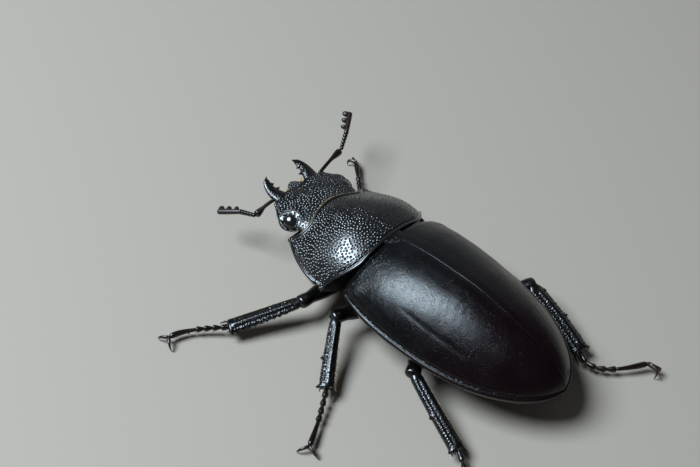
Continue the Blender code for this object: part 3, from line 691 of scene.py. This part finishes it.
def trunk(name, start, end, rows, joints):
    """The body below the wing cases. The plates of a jointed belly overlap like tiles, front over
    rear; a breast has a seam along its middle and one that spreads backwards on each side."""
    cols, back_cols = 150, 30
    v = rows_down(rows)
    y = mix(start, end, v)
    u = cols_across(-1, 1, cols)
    x, yy, _ = dome(u + 0 * v, y + 0 * u, TRUNK_INSET)
    z = belly_z(np.sin(0.5 * pi * u) + 0 * v, yy)
    belly = np.stack([x, yy, z], -1)
    down = normals(belly, away_from=(0, (start + end) / 2, 30.0))
    if joints:
        plate = v * joints - 0.14 * (1 - u ** 2)
        share = plate - np.floor(plate)
        height = 0.14 * (share - 0.5) - 0.1 * groove(share - 0.02, 0.03)
    else:
        side_seam = 2.6 + 0.25 * (yy - 4)
        height = -0.12 * groove(x, 0.09) - 0.1 * groove(np.abs(x) - side_seam, 0.1)
    height += 0.02 * wave(belly, scale=2.0, seed=9)
    belly = belly + down * height[..., None]
    weight = ramp(np.abs(x), 0.4, 2.0) * window(v, 0, 0.03, 1, 0.03)
    belly = pitted(belly, down, weight, PITS["trunk"], 17 + rows)
    w = cols_across(1, -1, back_cols)
    back = np.stack(dome(w + 0 * v, y + 0 * w, TRUNK_INSET), -1)
    loft_piece([belly, back], name + "_plates", BELLY, "underside", name)


# ------------------------ shield

def pronotum_front_y(across):
    return PRONOTUM_FRONT_Y + 2.63 * across ** 2 - 2.88 * across ** 4


def pronotum_hind_y(across):
    bend = np.maximum(0.0, (np.abs(across) - 0.55) / 0.45)
    return PRONOTUM_HIND_Y - 1.95 * bend ** 1.6


def pronotum_half_width(along):
    spread = PRONOTUM_HALF_WIDTH - PRONOTUM_FRONT_HALF
    front = PRONOTUM_FRONT_HALF + spread * (1 - (1 - np.minimum(1, along / PRONOTUM_WIDEST)) ** 2)
    return front - 0.15 * np.maximum(0.0, along - PRONOTUM_WIDEST) / (1 - PRONOTUM_WIDEST)


def pronotum_crest_z(along):
    rise = PRONOTUM_RISE * np.sin(0.5 * pi * np.minimum(1.0, along / PRONOTUM_TOP_AT))
    return PRONOTUM_FRONT_Z + rise - PRONOTUM_HIND_DROP * np.maximum(0.0, along - PRONOTUM_TOP_AT) ** 1.2


def pronotum_surface(u, v):
    """u runs from the right margin, -1, to the left one, 1; v from front to hind edge."""
    across = np.sin(0.5 * pi * u) + 0 * v
    y = mix(pronotum_front_y(across), pronotum_hind_y(across), v)
    height = pronotum_crest_z(v) - PRONOTUM_MARGIN_Z
    hind_tooth, notch = 0.22 * ramp(v, 0.94, 0.06), 0.14 * groove(v - 0.88, 0.05)
    x = across * pronotum_half_width(v) + np.sign(across) * np.abs(across) ** 12 * (hind_tooth - notch)
    return np.stack([x, y, PRONOTUM_MARGIN_Z + height * arch(across, 2.2, 1.35)], -1)


def pronotum():
    """The shield: coarse pits nearly touching, fewer along the middle and on the right side, and a
    smooth raised rim all round."""
    rows, cols, under_cols = 240, 470, 40
    rim_fold = vec(0.12, 0, -0.28)
    v = crowded(rows_down(rows)) * 0.5 + rows_down(rows) * 0.5
    top = pronotum_surface(cols_across(-1, 1, cols), v)
    out = normals(top, away_from=(0, -3.5, 2.0))
    from_front, from_side = run_lengths(top, 0), run_lengths(top, 1)
    edges = ((SHIELD_FRONT_RIM, from_front), (SHIELD_HIND_RIM, from_front[-1:] - from_front),
             (SHIELD_SIDE_RIM, np.minimum(from_side, from_side[:, -1:] - from_side)))
    height = 0.012 * wave(top, scale=3.0, seed=21)
    height -= 0.03 * groove(top[..., 0], 0.25) * window(v, 0, 0.3, 1, 0.3)
    weight = 1.0
    for rim, distance in edges:
        height = height + rim_relief(rim, distance)
        weight = weight * ramp(distance, rim.pits_from, rim.pits_fade)
    top = top + out * height[..., None]
    middle = groove(top[..., 0], 2.6) * smooth(v / 0.3)
    right_side = 1 - ramp(top[..., 0], -4.0, 4.0)
    weight = weight * (1 - 0.2 * middle) * (1 - 0.5 * right_side)
    top = pitted(top, out, weight, PITS["shield"], 41)
    under = pronotum_surface(cols_across(1, -1, under_cols) * 0.9, v)
    under[..., 2] = PRONOTUM_MARGIN_Z - PRONOTUM_RIM
    strips = [top, top[:, -1:] + rim_fold * (-1, 1, 1), under, top[:, :1] + rim_fold]
    loft_piece(strips, "shield", SHIELD, "black_chitin", "pronotum")


def prosternum():
    """The plate under the shield, with a low keel along the rear of its middle."""
    rows, cols = 110, 150
    v = rows_down(rows)
    u = cols_across(-1, 1, cols)
    rim = pronotum_surface(u, 0.03 + 0.94 * v)
    top_z = PRONOTUM_MARGIN_Z - PRONOTUM_RIM - 0.1
    z = mix(BREAST_Z, top_z - 0.25, np.abs(np.sin(0.5 * pi * u)) ** 1.3)
    keel = 0.3 * groove(rim[..., 0], 0.5) * ramp(v, 0.2, 0.3)
    plate = np.stack([rim[..., 0] * 0.86, rim[..., 1], z - keel], -1)
    down = normals(plate, away_from=(0, -3.5, 30.0))
    plate = pitted(plate, down, window(v, 0, 0.04, 1, 0.04), PITS["prosternum"], 51)
    lid = plate[:, ::-1][:, ::8] * (1, 1, 0) + vec(0, 0, top_z)
    loft_piece([plate, lid], "prosternum_plate", BELLY, "underside", "prosternum")


# ------------------------ head

def head_half_width(along):
    cheek = mix(HEAD_REAR_HALF, HEAD_CANTHUS_HALF, crowded(np.clip((along - 0.3) / 0.2, 0, 1)))
    front = (HEAD_CANTHUS_HALF - HEAD_FRONT_HALF) * np.maximum(0.0, (along - 0.5) / 0.5) ** 1.8
    return cheek - front


def head_surface(u, v):
    """u runs from the right side, -1, to the left, 1; v from the neck to the front edge."""
    across = np.sin(0.5 * pi * u) + 0 * v
    x = across * head_half_width(v)
    rear = pronotum_front_y(x / PRONOTUM_FRONT_HALF) - 0.05
    middle_notch, corners = 0.14 * groove(across, 0.2), 0.12 * groove(np.abs(across) - 0.42, 0.12)
    front = HEAD_FRONT_Y + 0.25 * across ** 2 + middle_notch - corners
    crown = HEAD_TOP_Z - 0.65 * np.maximum(0.0, (v - 0.4) / 0.6) ** 1.3
    return np.stack([x, mix(rear, front, v), mix(HEAD_RIM_Z, crown, arch(across, 2.6, 1.6))], -1)


def eye_depth(points, side):
    """Distance to the eye's middle in eye radii: 1 on the cornea."""
    return np.linalg.norm((points - EYE_CENTRE * (side, 1, 1)) / EYE_RADII, axis=-1)


def head():
    """The head capsule: coarsely pitted, dished in front between two low bumps and its raised
    corners, with a socket and a low ring for each eye."""
    rows, cols, throat_cols = 150, 330, 90
    v = rows_down(rows)
    top = head_surface(cols_across(-1, 1, cols), v)
    out = normals(top, away_from=(0, -9.2, 2.0))
    from_neck = run_lengths(top, 0)
    to_front = from_neck[-1:] - from_neck
    height = rim_relief(HEAD_RIM, to_front) + 0.02 * wave(top, scale=1.6, seed=23)
    for swelling in HEAD_SWELLINGS:
        off_x, off_y = np.abs(top[..., 0]) - swelling.x, top[..., 1] - swelling.y
        height += swelling_relief(swelling, off_x, off_y)
    top = top + out * height[..., None]
    for side in SIDES.values():
        ring = 0.08 * groove(eye_depth(top, side) - 1.36, 0.26)
        top = top + out * ring[..., None]
    fewer_in_front = 1 - 0.12 * ramp(v, 0.5, 0.3)
    weight = ramp(to_front, 0.2, 0.15) * smooth(v / 0.06) * fewer_in_front
    top = pitted(top, out, weight, PITS["head"], 43)
    for side in SIDES.values():
        sink = ramp(eye_depth(top, side), 1.1, -0.1)[..., None]
        middle = EYE_CENTRE * (side, 1, 1) - vec(side * 0.35, 0, 0.35)
        top = mix(top, middle + (top - middle) * 0.55, sink)
    u = cols_across(1, -1, throat_cols)
    low = head_surface(u, v) * (0.97, 1, 1)
    low[..., 2] = mix(HEAD_THROAT_Z + 0.7 * v ** 2, HEAD_RIM_Z - 0.4, np.sin(0.5 * pi * u) ** 2)
    down = normals(low, away_from=(0, -9.2, 30.0))
    low = pitted(low, down, window(v, 0, 0.05, 1, 0.05), PITS["throat"], 45)
    loft_piece([top, low], "head_capsule", SHIELD, "black_chitin", "head")


def eyes():
    """Faceted eyes, and the canthus, a pitted ridge from each eye's front round its outer side."""
    rx, ry, rz = EYE_RADII
    t = steps(60)
    angles = np.radians(np.linspace(-85, 30, 60))
    width = 0.23 * np.sqrt(np.maximum(0, 1 - t ** 4)) + 0.01
    for word, side in SIDES.items():
        centre = EYE_CENTRE * (side, 1, 1)
        cornea = ball(centre, ((0, ry, 0), (0, 0, rz), (side * rx, 0, 0)), 60, 90)
        loft_piece([cornea], "compound_eye_" + word, EYE, "eye", "eye_" + word)
        path = np.stack([side * 1.1 * np.cos(angles) * rx, 1.14 * np.sin(angles) * ry, 0.26 - 0.3 * t], -1)
        rings = tube(centre + path, width, width * 0.75, UP, 24)
        rings = pitted_limb(rings, 1.0, PITS["canthus"], 91)
        loft_piece([rings], "canthus_" + word, SHIELD, "black_chitin")


def mandible(word, side):
    """A short sickle: the outer side bows and ends in a point, the inner one has two teeth."""
    rows, sides = 130, 40
    # Each tooth's place along the jaw, half its width and its height.
    teeth_at = ((0.44, 0.1, 0.38), (0.74, 0.09, 0.3))
    t = steps(rows)
    outer_x = 2.6 + 0.1 * np.sin(pi * t) - 0.1 * t - 0.7 * t ** 4
    inner_x = 1.0 + 0.86 * np.sin(0.5 * pi * t) - 0.42 * t ** 3
    teeth = sum(tall * np.maximum(0, 1 - np.abs(t - at) / wide) ** 1.2 for at, wide, tall in teeth_at)
    narrow = 1 - 0.75 * ramp(t, 0.86, 0.14)
    y = mix(MANDIBLE_BASE_Y + 0.35, MANDIBLE_TIP_Y, t)
    path = np.stack([side * (outer_x + inner_x) / 2, y, MANDIBLE_BASE_Z + 0.8 * t ** 1.6], -1)
    half_width, half_thick = (outer_x - inner_x) / 2 * narrow, mix(0.46, 0.14, t ** 0.8)
    rings = tube(path, half_width, half_thick, (-side, 0, 0), sides, teeth)
    inward = 0.5 + 0.5 * ramp(np.cos(turns(sides)), -0.8, 1.0)
    weight = (ramp(t, 0.9, -0.2) * smooth(t / 0.08))[:, None] * inward
    rings = pitted_limb(rings, weight, PITS["mandible"], 61 + side)
    loft_piece([rings], "jaw_" + word, LIMB, "black_chitin", "mandible_" + word)


def labrum():
    """The upper lip, a short grainy plate between the jaws."""
    v = rows_down(40)
    u = cols_across(-1, 1, 60)
    half_width, length, thickness = 0.95, 1.05, 0.42
    y = HEAD_FRONT_Y + 0.15 - length * v * arch(u * 0.9, 2.0, 2.0)
    z = MANDIBLE_BASE_Z + 0.32 - 0.2 * v ** 2 - 0.16 * u ** 2
    top = np.stack([u * half_width * (1 - 0.25 * v), y, z], -1)
    out = normals(top, away_from=(0, -11.5, 0.0))
    top = pitted(top, out, ramp(v, 1, -0.1), PITS["labrum"], 67)
    under = top[:, ::-1][:, ::5] - vec(0, 0, thickness)
    loft_piece([top, under], "upper_lip", SHIELD, "black_chitin", "labrum")


def palps():
    """Three short joints for each palp, the first two wider towards their ends."""
    # Where each joint begins and ends along the palp, and half its width there.
    joints = ((0.0, 0.3, 0.12, 0.2), (0.31, 0.6, 0.13, 0.21), (0.61, 1.0, 0.14, 0.13))
    for word, side in SIDES.items():
        start, end = vec(side * 1.3, -11.2, 3.2), vec(side * 1.5, -12.7, 2.7)
        pile = Pile()
        for first, last, base, tip in joints:
            spindle(pile, mix(start, end, first), mix(start, end, last), base, tip, bulge=0.03)
        pile.build("palp_" + word, FOOT, "black_chitin", "maxillary_palp_" + word)


def antenna(word, base, elbow, stalk, tip):
    """Elbowed: a long first joint, a string of beads, and a club of lobes on its inner side."""
    t = steps(60)
    path = lerp_path(base - 0.5 * unit(elbow - base), elbow, t * 0.97)
    path[:, 2] += 0.16 * np.sin(pi * t)
    radius = (0.17 + 0.16 * ramp(t, 0.5, 0.42)) * round_off(1 - t, 0.07, 0.02)
    shaft = tube(path, radius, radius, UP, 24)
    loft_piece([shaft], "feeler_shaft_" + word, FEELER, "black_chitin", "antenna_scape_" + word)
    pile = Pile()
    along = (stalk - elbow) / ANTENNA_BEADS
    for k in range(ANTENNA_BEADS):
        middle = mix(elbow, stalk, (k + 0.6) / ANTENNA_BEADS)
        size = 0.18 + 0.01 * k
        spindle(pile, middle - 0.47 * along, middle + 0.47 * along, size * 0.75, size * 1.15, 20, 14, 0.02)
    pile.build("feeler_beads_" + word, FEELER, "black_chitin", "antenna_stalk_" + word)
    pile = Pile()
    along = (tip - stalk) / CLUB_LOBES
    ahead = unit(along)
    inward = vec(-SIDES[word], -0.3, 0.0)
    inward = unit(inward - (inward @ ahead) * ahead)
    across = np.cross(ahead, inward)
    spindle(pile, stalk - along * 0.15, tip, 0.2, 0.25, 28, 40, 0.02)
    for k in range(CLUB_LOBES):
        middle = stalk + along * (k + 0.62) + inward * (0.26 + 0.02 * k)
        axes = (ahead * (0.22 + 0.04 * k) + inward * 0.05, across * 0.26, inward * (0.38 + 0.02 * k))
        pile.loft(ball(middle, axes, 30, 28))
    pile.build("feeler_leaves_" + word, FELT, "antenna_club", "antenna_club_" + word)


# ------------------------ legs

def leg_build(place):
    return LEG_BUILD.get(place) or LEG_BUILD[place.split("_")[0]]


def outer_direction(axis, towards):
    """Level, across the axis, away from the side that the joint folds to."""
    folded = towards - (towards @ axis) * axis
    folded[2] = 0
    return -unit(folded)


def coxa(place, hip, pair, inward):
    along, across, tall = COXA_RADII[pair]
    centre = hip + vec(inward * COXA_INNER, 0, COXA_RISE)
    rings = ball(centre, ((0, across, 0), (0, 0, tall), (along, 0, 0)), 60, 60)
    rings = pitted_limb(rings, 1.0, PITS["coxa"], 79)
    loft_piece([rings], "hip_" + place, BELLY, "black_chitin", "coxa_" + place)


def thigh(place, hip, knee, outer, build):
    """Swollen in the middle and flared again at the knee, where it ends round."""
    rows, sides = 100, 44
    axis = unit(knee - hip)
    start, end = hip + 0.1 * axis, knee + KNEE_RADIUS * axis
    t = crowded(steps(rows))
    swell = np.sin(pi * np.minimum(1.0, 0.12 + 0.82 * t))
    to_end = (1 - t) * np.linalg.norm(end - start)
    knee_flare = groove(to_end - KNEE_RADIUS, KNEE_RADIUS)
    cap = round_off(to_end, 0.75 * KNEE_RADIUS, 0.001, 3)
    wide, thick = ((np.maximum(most * swell, least) + flare * knee_flare) * cap
                   for most, least, flare in zip(build.thigh, THIGH_LEAST, KNEE_FLARE))
    rings = tube(lerp_path(start, end, t), wide, thick, outer, sides)
    weight = (ramp(to_end, 0.9, 0.3) * smooth(t / 0.06))[:, None]
    rings = pitted_limb(rings, weight, PITS["thigh"], 71)
    loft_piece([rings], "thigh_" + place, LIMB, "black_chitin", "femur_" + place)


def shin_teeth(t, build):
    """How far the outer edge stands out: each tooth slopes up slowly and drops off at its point."""
    slope, drop = 0.075, 0.02
    edge = np.zeros(len(t))
    for point in build.teeth:
        rise = ramp(t, point - slope, slope) * (t <= point)
        fall = np.maximum(0, 1 - (t - point) / drop) * (t > point)
        edge = np.maximum(edge, build.tooth * mix(0.5, 1.0, point) * (rise ** 1.4 + fall))
    return edge


def spine(pile, root, tip, thick, bend=(0, 0, 0)):
    """A tapering spine, bent by an offset at its middle."""
    t = steps(10)
    path = lerp_path(root, tip, t, bend)
    radius = thick * np.sqrt(np.maximum(0, 1 - t ** 1.5)) + 0.003
    side = UP if abs(unit(tip - root)[2]) < 0.8 else (1, 0, 0)
    pile.loft(tube(path, radius, radius, side, 8))


def shin(place, knee, ankle, outer, build):
    """Leaves the knee by a neck and widens to its foot: keeled above, grainy on the toothed side
    and pitted on the other, with a crown of short spines and two long spurs round the foot."""
    rows, sides, crown_spines = 230, 56, 7
    width, half = build.shin
    neck = build.neck
    axis = unit(ankle - knee)
    across = np.cross(axis, outer)
    start = knee + axis * SHIN_START
    length = np.linalg.norm(ankle - start)
    bare = KNEE_RADIUS - SHIN_START
    t = steps(rows)
    along = t * length
    grown = mix(build.start, 1.0, np.minimum(1.0, t / 0.9)) * (1 + 0.06 * ramp(t, 0.9, 0.08))
    shoulder = ramp(along, bare - 0.3, 0.45)
    cap = round_off(1 - t, 0.035, 0.02)
    wide = mix(neck, width * grown, shoulder) * cap
    thick = mix(neck * 0.9, half * mix(0.9, 1.0, t), shoulder) * cap
    path = lerp_path(start, ankle, t) + outer * (build.bow * np.sin(pi * t))[:, None]
    span = np.clip((along - bare) / (length - bare), 0, 1)
    rings = tube(path, wide, thick, outer, sides, shin_teeth(span, build))
    out = normals(rings, True)
    angle = turns(sides)[None]
    keel_at = 0.5 * pi * np.sign(across[2]) - 0.25
    from_keel = np.abs(np.angle(np.exp(1j * (angle - keel_at))))
    run = (ramp(along, bare, 0.6) * ramp(t, 0.95, -0.05))[:, None]
    keel = 0.05 * groove(from_keel, 0.22) - 0.05 * groove(from_keel - 0.55, 0.2)
    rings = rings + out * (keel * run)[..., None]
    weight = run * (1 - groove(from_keel, 0.35))
    toothed = weight * ramp(np.cos(angle), -0.1, 0.3)
    grains = Pits(0.18, 0.09, -build.grain, 9000, 0.1)
    rings = pitted(rings, out, toothed, grains, 73, True)
    inner = weight * ramp(np.cos(angle), 0.1, -0.3)
    rings = pitted(rings, out, inner, PITS["shin"], 75, True)
    pile = Pile()
    pile.loft(rings)
    for turned in turns(crown_spines) + pi / crown_spines:
        edge = outer * math.cos(turned) * width * 0.93 + across * math.sin(turned) * half * 0.9
        root = ankle - axis * 0.16 + edge
        spine(pile, root, root + axis * 0.24 + edge * 0.08, 0.06)
    spurs = ((0.55, 0.75), (-0.45, 0.6))
    for lean, long in spurs:
        root = ankle - axis * 0.1 - outer * width * 0.6 + across * half * lean
        tip = root + axis * long - outer * 0.16 + vec(0, 0, -0.14)
        spine(pile, root, tip, 0.085, -outer * 0.05)
    pile.build("shin_" + place, LIMB, "black_chitin", "tibia_" + place)


def foot_control(ankle, bend, toe):
    """The point that pulls a foot's curve from its ankle to its toe through its bend."""
    return bend * 2 - (ankle + toe) / 2


def foot_curve(ankle, bend, toe, t):
    t = np.asarray(t)[..., None]
    return (1 - t) ** 2 * ankle + 2 * t * (1 - t) * foot_control(ankle, bend, toe) + t ** 2 * toe


def foot(place, ankle, bend, toe):
    """Four short joints like beads, and one long joint that carries the claws."""
    whole = foot_curve(ankle, bend, toe, np.linspace(-0.05, 1, 300))
    run = np.concatenate(([0], np.cumsum(np.linalg.norm(np.diff(whole, axis=0), axis=1))))
    w = steps(30)
    pile = Pile()
    last = len(FOOT_SHARES) - 2
    for k, (first, end) in enumerate(zip(FOOT_SHARES, FOOT_SHARES[1:])):
        overlap = 0.012 if k < last else 0
        s = np.linspace(first, end + overlap, len(w)) * run[-1]
        path = np.stack([np.interp(s, run, whole[:, axis]) for axis in range(3)], -1)
        neck, belly = FOOT_JOINT if k < last else FOOT_LAST_JOINT
        radius = mix(neck, belly, smooth(w / 0.8)) * round_off(1 - w, 0.16, 0.03) * round_off(w, 0.06, 0.1)
        pile.loft(tube(path, radius, radius * 0.92, UP, 20))
    pile.build("foot_" + place, FOOT, "black_chitin", "tarsus_" + place)


def claws(place, ankle, bend, toe):
    """Two slender hooks that spread from the foot's end, with their tips at the floor."""
    turn, spread_share, longer = CLAW_POSE.get(place, USUAL_CLAWS)
    forward = unit((toe - foot_control(ankle, bend, toe)) * (1, 1, 0))
    forward = np.array(Matrix.Rotation(math.radians(turn), 3, "Z") @ Vector(forward))
    across = np.cross(UP, forward)
    root_gap, tip_z = 0.06, 0.03
    t = steps(44)
    reach = 0.05 + longer * CLAW_REACH * np.sin(0.62 * pi * t ** (1 / longer))
    spread = mix(root_gap, CLAW_SPREAD * spread_share, np.sin(0.5 * pi * t) ** 1.2)
    radius = CLAW_THICK * (1 - t ** 1.7) + 0.012
    pile = Pile()
    for side in (-1, 1):
        path = toe + forward * reach[:, None] + across * (side * spread)[:, None]
        path[:, 2] = mix(toe[2], tip_z, t ** 1.6) + 0.1 * np.sin(pi * t)
        pile.loft(tube(path, radius * 1.15, radius * 0.8, UP, 16))
    spindle(pile, toe - forward * 0.14, toe + forward * 0.16, 0.15, 0.12)
    spindle(pile, toe + forward * 0.1, toe + forward * 0.34 - vec(0, 0, 0.1), 0.045, 0.03, 12, 10)
    pile.build("claw_pair_" + place, CLAW, "claw_horn", "claws_" + place)


def legs():
    for place, points in LEGS.items():
        pair, side = place.split("_")
        hip, knee, ankle, bend, toe = np.array(points)
        build = leg_build(place)
        thigh_axis, shin_axis = unit(knee - hip), unit(ankle - knee)
        coxa(place, hip, pair, -SIDES[side])
        thigh(place, hip, knee, outer_direction(thigh_axis, shin_axis), build)
        shin(place, knee, ankle, outer_direction(shin_axis, -thigh_axis), build)
        foot(place, ankle, bend, toe)
        claws(place, ankle, bend, toe)


# ------------------------ hairs

# The width of a hair's patch in the bake layer.
PATCH = 0.003


def hair(pile, root, tip, thick, bend, place):
    """One solid bristle; place is its root's spot on the skin's unwrap, where its patch lies."""
    sides, rows = 4, 6
    t = steps(rows)
    path = lerp_path(root, tip, t, bend)
    radius = thick * (1 - t ** 1.6) + 0.004
    upright = abs(unit(tip - root)[2]) > 0.8
    i, j = np.divmod(np.arange(rows * sides), sides)
    spots = np.stack([j / (sides - 1), i / (rows - 1)], -1)
    spots = np.concatenate([spots, ((0.5, 0.0), (0.5, 1.0))]) - 0.5
    rings = tube(path, radius, radius, (1, 0, 0) if upright else UP, sides)
    pile.loft(rings, np.asarray(place) + spots * PATCH)


def hairs(name, seed, strands):
    """One piece of the hairs that a rule lays out with its own random draws."""
    pile = Pile()
    for strand in strands(np.random.default_rng(seed)):
        hair(pile, *strand)
    pile.build(name, HAIR, "golden_hair")


def aimed(turn, aim, unevenness):
    """A hair's direction and length, made uneven by random draws."""
    return np.asarray(aim) + turn.normal(0, unevenness, 3)


def mouth_hairs(turn):
    """Golden tufts: a brush below each side of the mouth and a fringe along the upper lip."""
    for side in (-1, 1):
        for _ in range(90):
            a, b = turn.uniform(0, 1, 2)
            root = vec(side * (0.35 + 0.75 * a), -11.35, 3.3 + 0.4 * b)
            aim = aimed(turn, (side * (0.2 - 0.5 * a), -0.6, -0.05), 0.09)
            tip = root + aim * turn.uniform(0.7, 1.05)
            yield root, tip, 0.022, (0, 0, 0.06), (0.5 + side * (0.05 + 0.1 * a), 0.05 + 0.06 * b)
    for _ in range(70):
        a = np.sign(turn.uniform(-1, 1)) * turn.uniform(0.55, 1.0)
        b = turn.uniform(0, 1)
        root = vec(0.9 * a, HEAD_FRONT_Y - 0.05 - 0.25 * b, 4.1 + 0.15 * b)
        aim = aimed(turn, (0.12 * np.sign(a), -0.42, 0.12), 0.06)
        tip = root + aim * turn.uniform(0.6, 1.0)
        yield root, tip, 0.02, (0, 0, 0.04), (0.5 + 0.14 * a, 0.13 + 0.06 * b)


def neck_fringe(turn):
    """A close row of short golden hairs from under the shield's front rim, over the neck."""
    for u in np.linspace(-0.6, 0.6, 190):
        root = pronotum_surface(np.array(u), np.array(0.0)) + vec(0, 0.05, 0.02)
        aim = aimed(turn, (0.0, -0.2, 0.02), 0.025)
        yield root, root + aim * turn.uniform(0.7, 1.05), 0.012, (0, 0, 0.02), (0.5 + 0.6 * u, 0.5)


def leg_hairs(turn):
    """Bristles along the inner edge of every shin, and paired tufts under the foot's joints."""
    for k, (place, points) in enumerate(LEGS.items()):
        build = leg_build(place)
        hip, knee, ankle, bend, toe = np.array(points)
        axis = unit(ankle - knee)
        outer = outer_direction(axis, -unit(knee - hip))
        strip = 0.3 + 0.1 * k
        for t in np.linspace(0.3, 0.97, 22):
            edge = outer * (build.bow * math.sin(pi * t) - build.shin[0] * mix(0.82, 0.97, t))
            root = mix(knee, ankle, t) + edge + vec(0, 0, turn.normal(0, 0.08))
            aim = aimed(turn, 0.3 * axis - 0.22 * outer, 0.04)
            tip = root + aim * turn.uniform(0.7, 1.2)
            yield root, tip, 0.024, -0.03 * outer, (0.05 + 0.5 * t, strip)
        for t in (0.16, 0.28, 0.4, 0.52):
            spot = foot_curve(ankle, bend, toe, t)
            ahead = unit(foot_curve(ankle, bend, toe, t + 0.02) - spot)
            across = unit(np.cross(UP, ahead))
            for side in (-1, 1):
                for _ in range(7):
                    root = spot + across * (side * turn.uniform(0.04, 0.16)) - vec(0, 0, 0.16)
                    lie = 0.16 * ahead + across * (side * 0.06) - vec(0, 0, 0.2)
                    tip = root + aimed(turn, lie, 0.03)
                    yield root, tip, 0.018, 0.02 * ahead, (0.6 + 0.5 * t, strip + 0.02 * side)


def belly_hairs(turn):
    """Short sparse hairs on the breast and belly plates, lying backwards."""
    for _ in range(420):
        across, along = turn.uniform(-0.8, 0.8), turn.uniform(0, 1)
        y = mix(ELYTRA_BASE_Y + 0.4, ELYTRA_APEX_Y - 2.5, along)
        x = dome(np.array(across), np.array(y), TRUNK_INSET)[0]
        z = belly_z(math.sin(0.5 * pi * across), y) - 0.02
        root = vec(float(x), y, float(z))
        tip = root + aimed(turn, (0.0, 0.34, -0.13), 0.04)
        yield root, tip, 0.016, (0, 0, -0.03), (0.5 + 0.4 * across, 0.92 + 0.05 * along)


# ------------------------ stage

FLOOR_SIZE = 3.0
FLOOR_COLOUR = (0.33, 0.28, 0.23, 1)
FLOOR_ROUGHNESS = 0.65
SKY_COLOUR = (0.80, 0.86, 0.92, 1)
SKY_STRENGTH = 0.07
# Round soft lights: direction from the middle of the floor, distance and size in metres, power in
# watts, and colour.
LAMPS = {
    "key": ((0.39, -0.4, 0.82), 0.35, 0.18, 2.5, (0.72, 0.87, 1.0)),
    "far_fill": ((-0.83, -0.42, 0.36), 0.5, 0.55, 0.18, (0.86, 0.92, 1.0)),
}
# The camera's place in the body's layout; its heading from +Y, its tilt down and its roll.
CAMERA_AT = (43.99, 34.85, 69.08)
CAMERA_HEADING = 131.70443
CAMERA_PITCH = 48.08
CAMERA_ROLL = 3.71
SENSOR_WIDTH = 36.0
FOCAL_SHARE = 1000 / 700


def floor():
    bpy.ops.mesh.primitive_plane_add(size=FLOOR_SIZE)
    plane = bpy.context.object
    plane.name = "floor"
    mat, _, shader = node_material("pale_floor")
    set_inputs(shader, Base_Color=FLOOR_COLOUR, Roughness=FLOOR_ROUGHNESS)
    plane.data.materials.append(mat)


def studio():
    """A dim even sky, a soft key light in front and a weak wide fill from the far side."""
    world = bpy.data.worlds.new("studio")
    world.use_nodes = True
    set_inputs(world.node_tree.nodes["Background"], Color=SKY_COLOUR, Strength=SKY_STRENGTH)
    bpy.context.scene.world = world
    for name, (direction, distance, size, power, colour) in LAMPS.items():
        light = bpy.data.lights.new(name, "AREA")
        light.shape = "DISK"
        light.size = size
        light.energy = power
        light.color = colour
        item = bpy.data.objects.new(name, light)
        away = Vector(direction).normalized()
        item.location = away * distance
        item.rotation_euler = away.to_track_quat("Z", "Y").to_euler()
        bpy.context.scene.collection.objects.link(item)


def camera():
    """Looks down on the beetle from behind its left side, turned slightly about its own axis."""
    place = Matrix.Translation(Vector(CAMERA_AT) * MM + Vector(ORIGIN))
    for angle, axis in ((CAMERA_HEADING, "Z"), (90 - CAMERA_PITCH, "X"), (CAMERA_ROLL, "Z")):
        place = place @ Matrix.Rotation(math.radians(angle), 4, axis)
    data = bpy.data.cameras.new("camera")
    data.sensor_width = SENSOR_WIDTH
    data.lens = SENSOR_WIDTH * FOCAL_SHARE
    data.clip_start = 0.005
    data.clip_end = 20.0
    item = bpy.data.objects.new("camera", data)
    item.matrix_world = place
    bpy.context.scene.collection.objects.link(item)
    bpy.context.scene.camera = item


for word, side in SIDES.items():
    elytron(word, side)
scutellum()
trunk("pterothorax", ELYTRA_BASE_Y + 0.1, WAIST_Y - 0.02, 90, 0)
trunk("abdomen", WAIST_Y, ELYTRA_APEX_Y - ELYTRA_SHELL - 0.3, 170, 5)
pronotum()
prosternum()
head()
eyes()
for word, side in SIDES.items():
    mandible(word, side)
labrum()
palps()
for word, points in ANTENNAE.items():
    antenna(word, *np.array(points))
legs()
hairs("mouth_hairs", 101, mouth_hairs)
hairs("neck_fringe", 109, neck_fringe)
hairs("leg_hairs", 103, leg_hairs)
hairs("belly_hairs", 107, belly_hairs)
floor()
studio()
camera()
bpy.context.scene.view_settings.view_transform = "Standard"
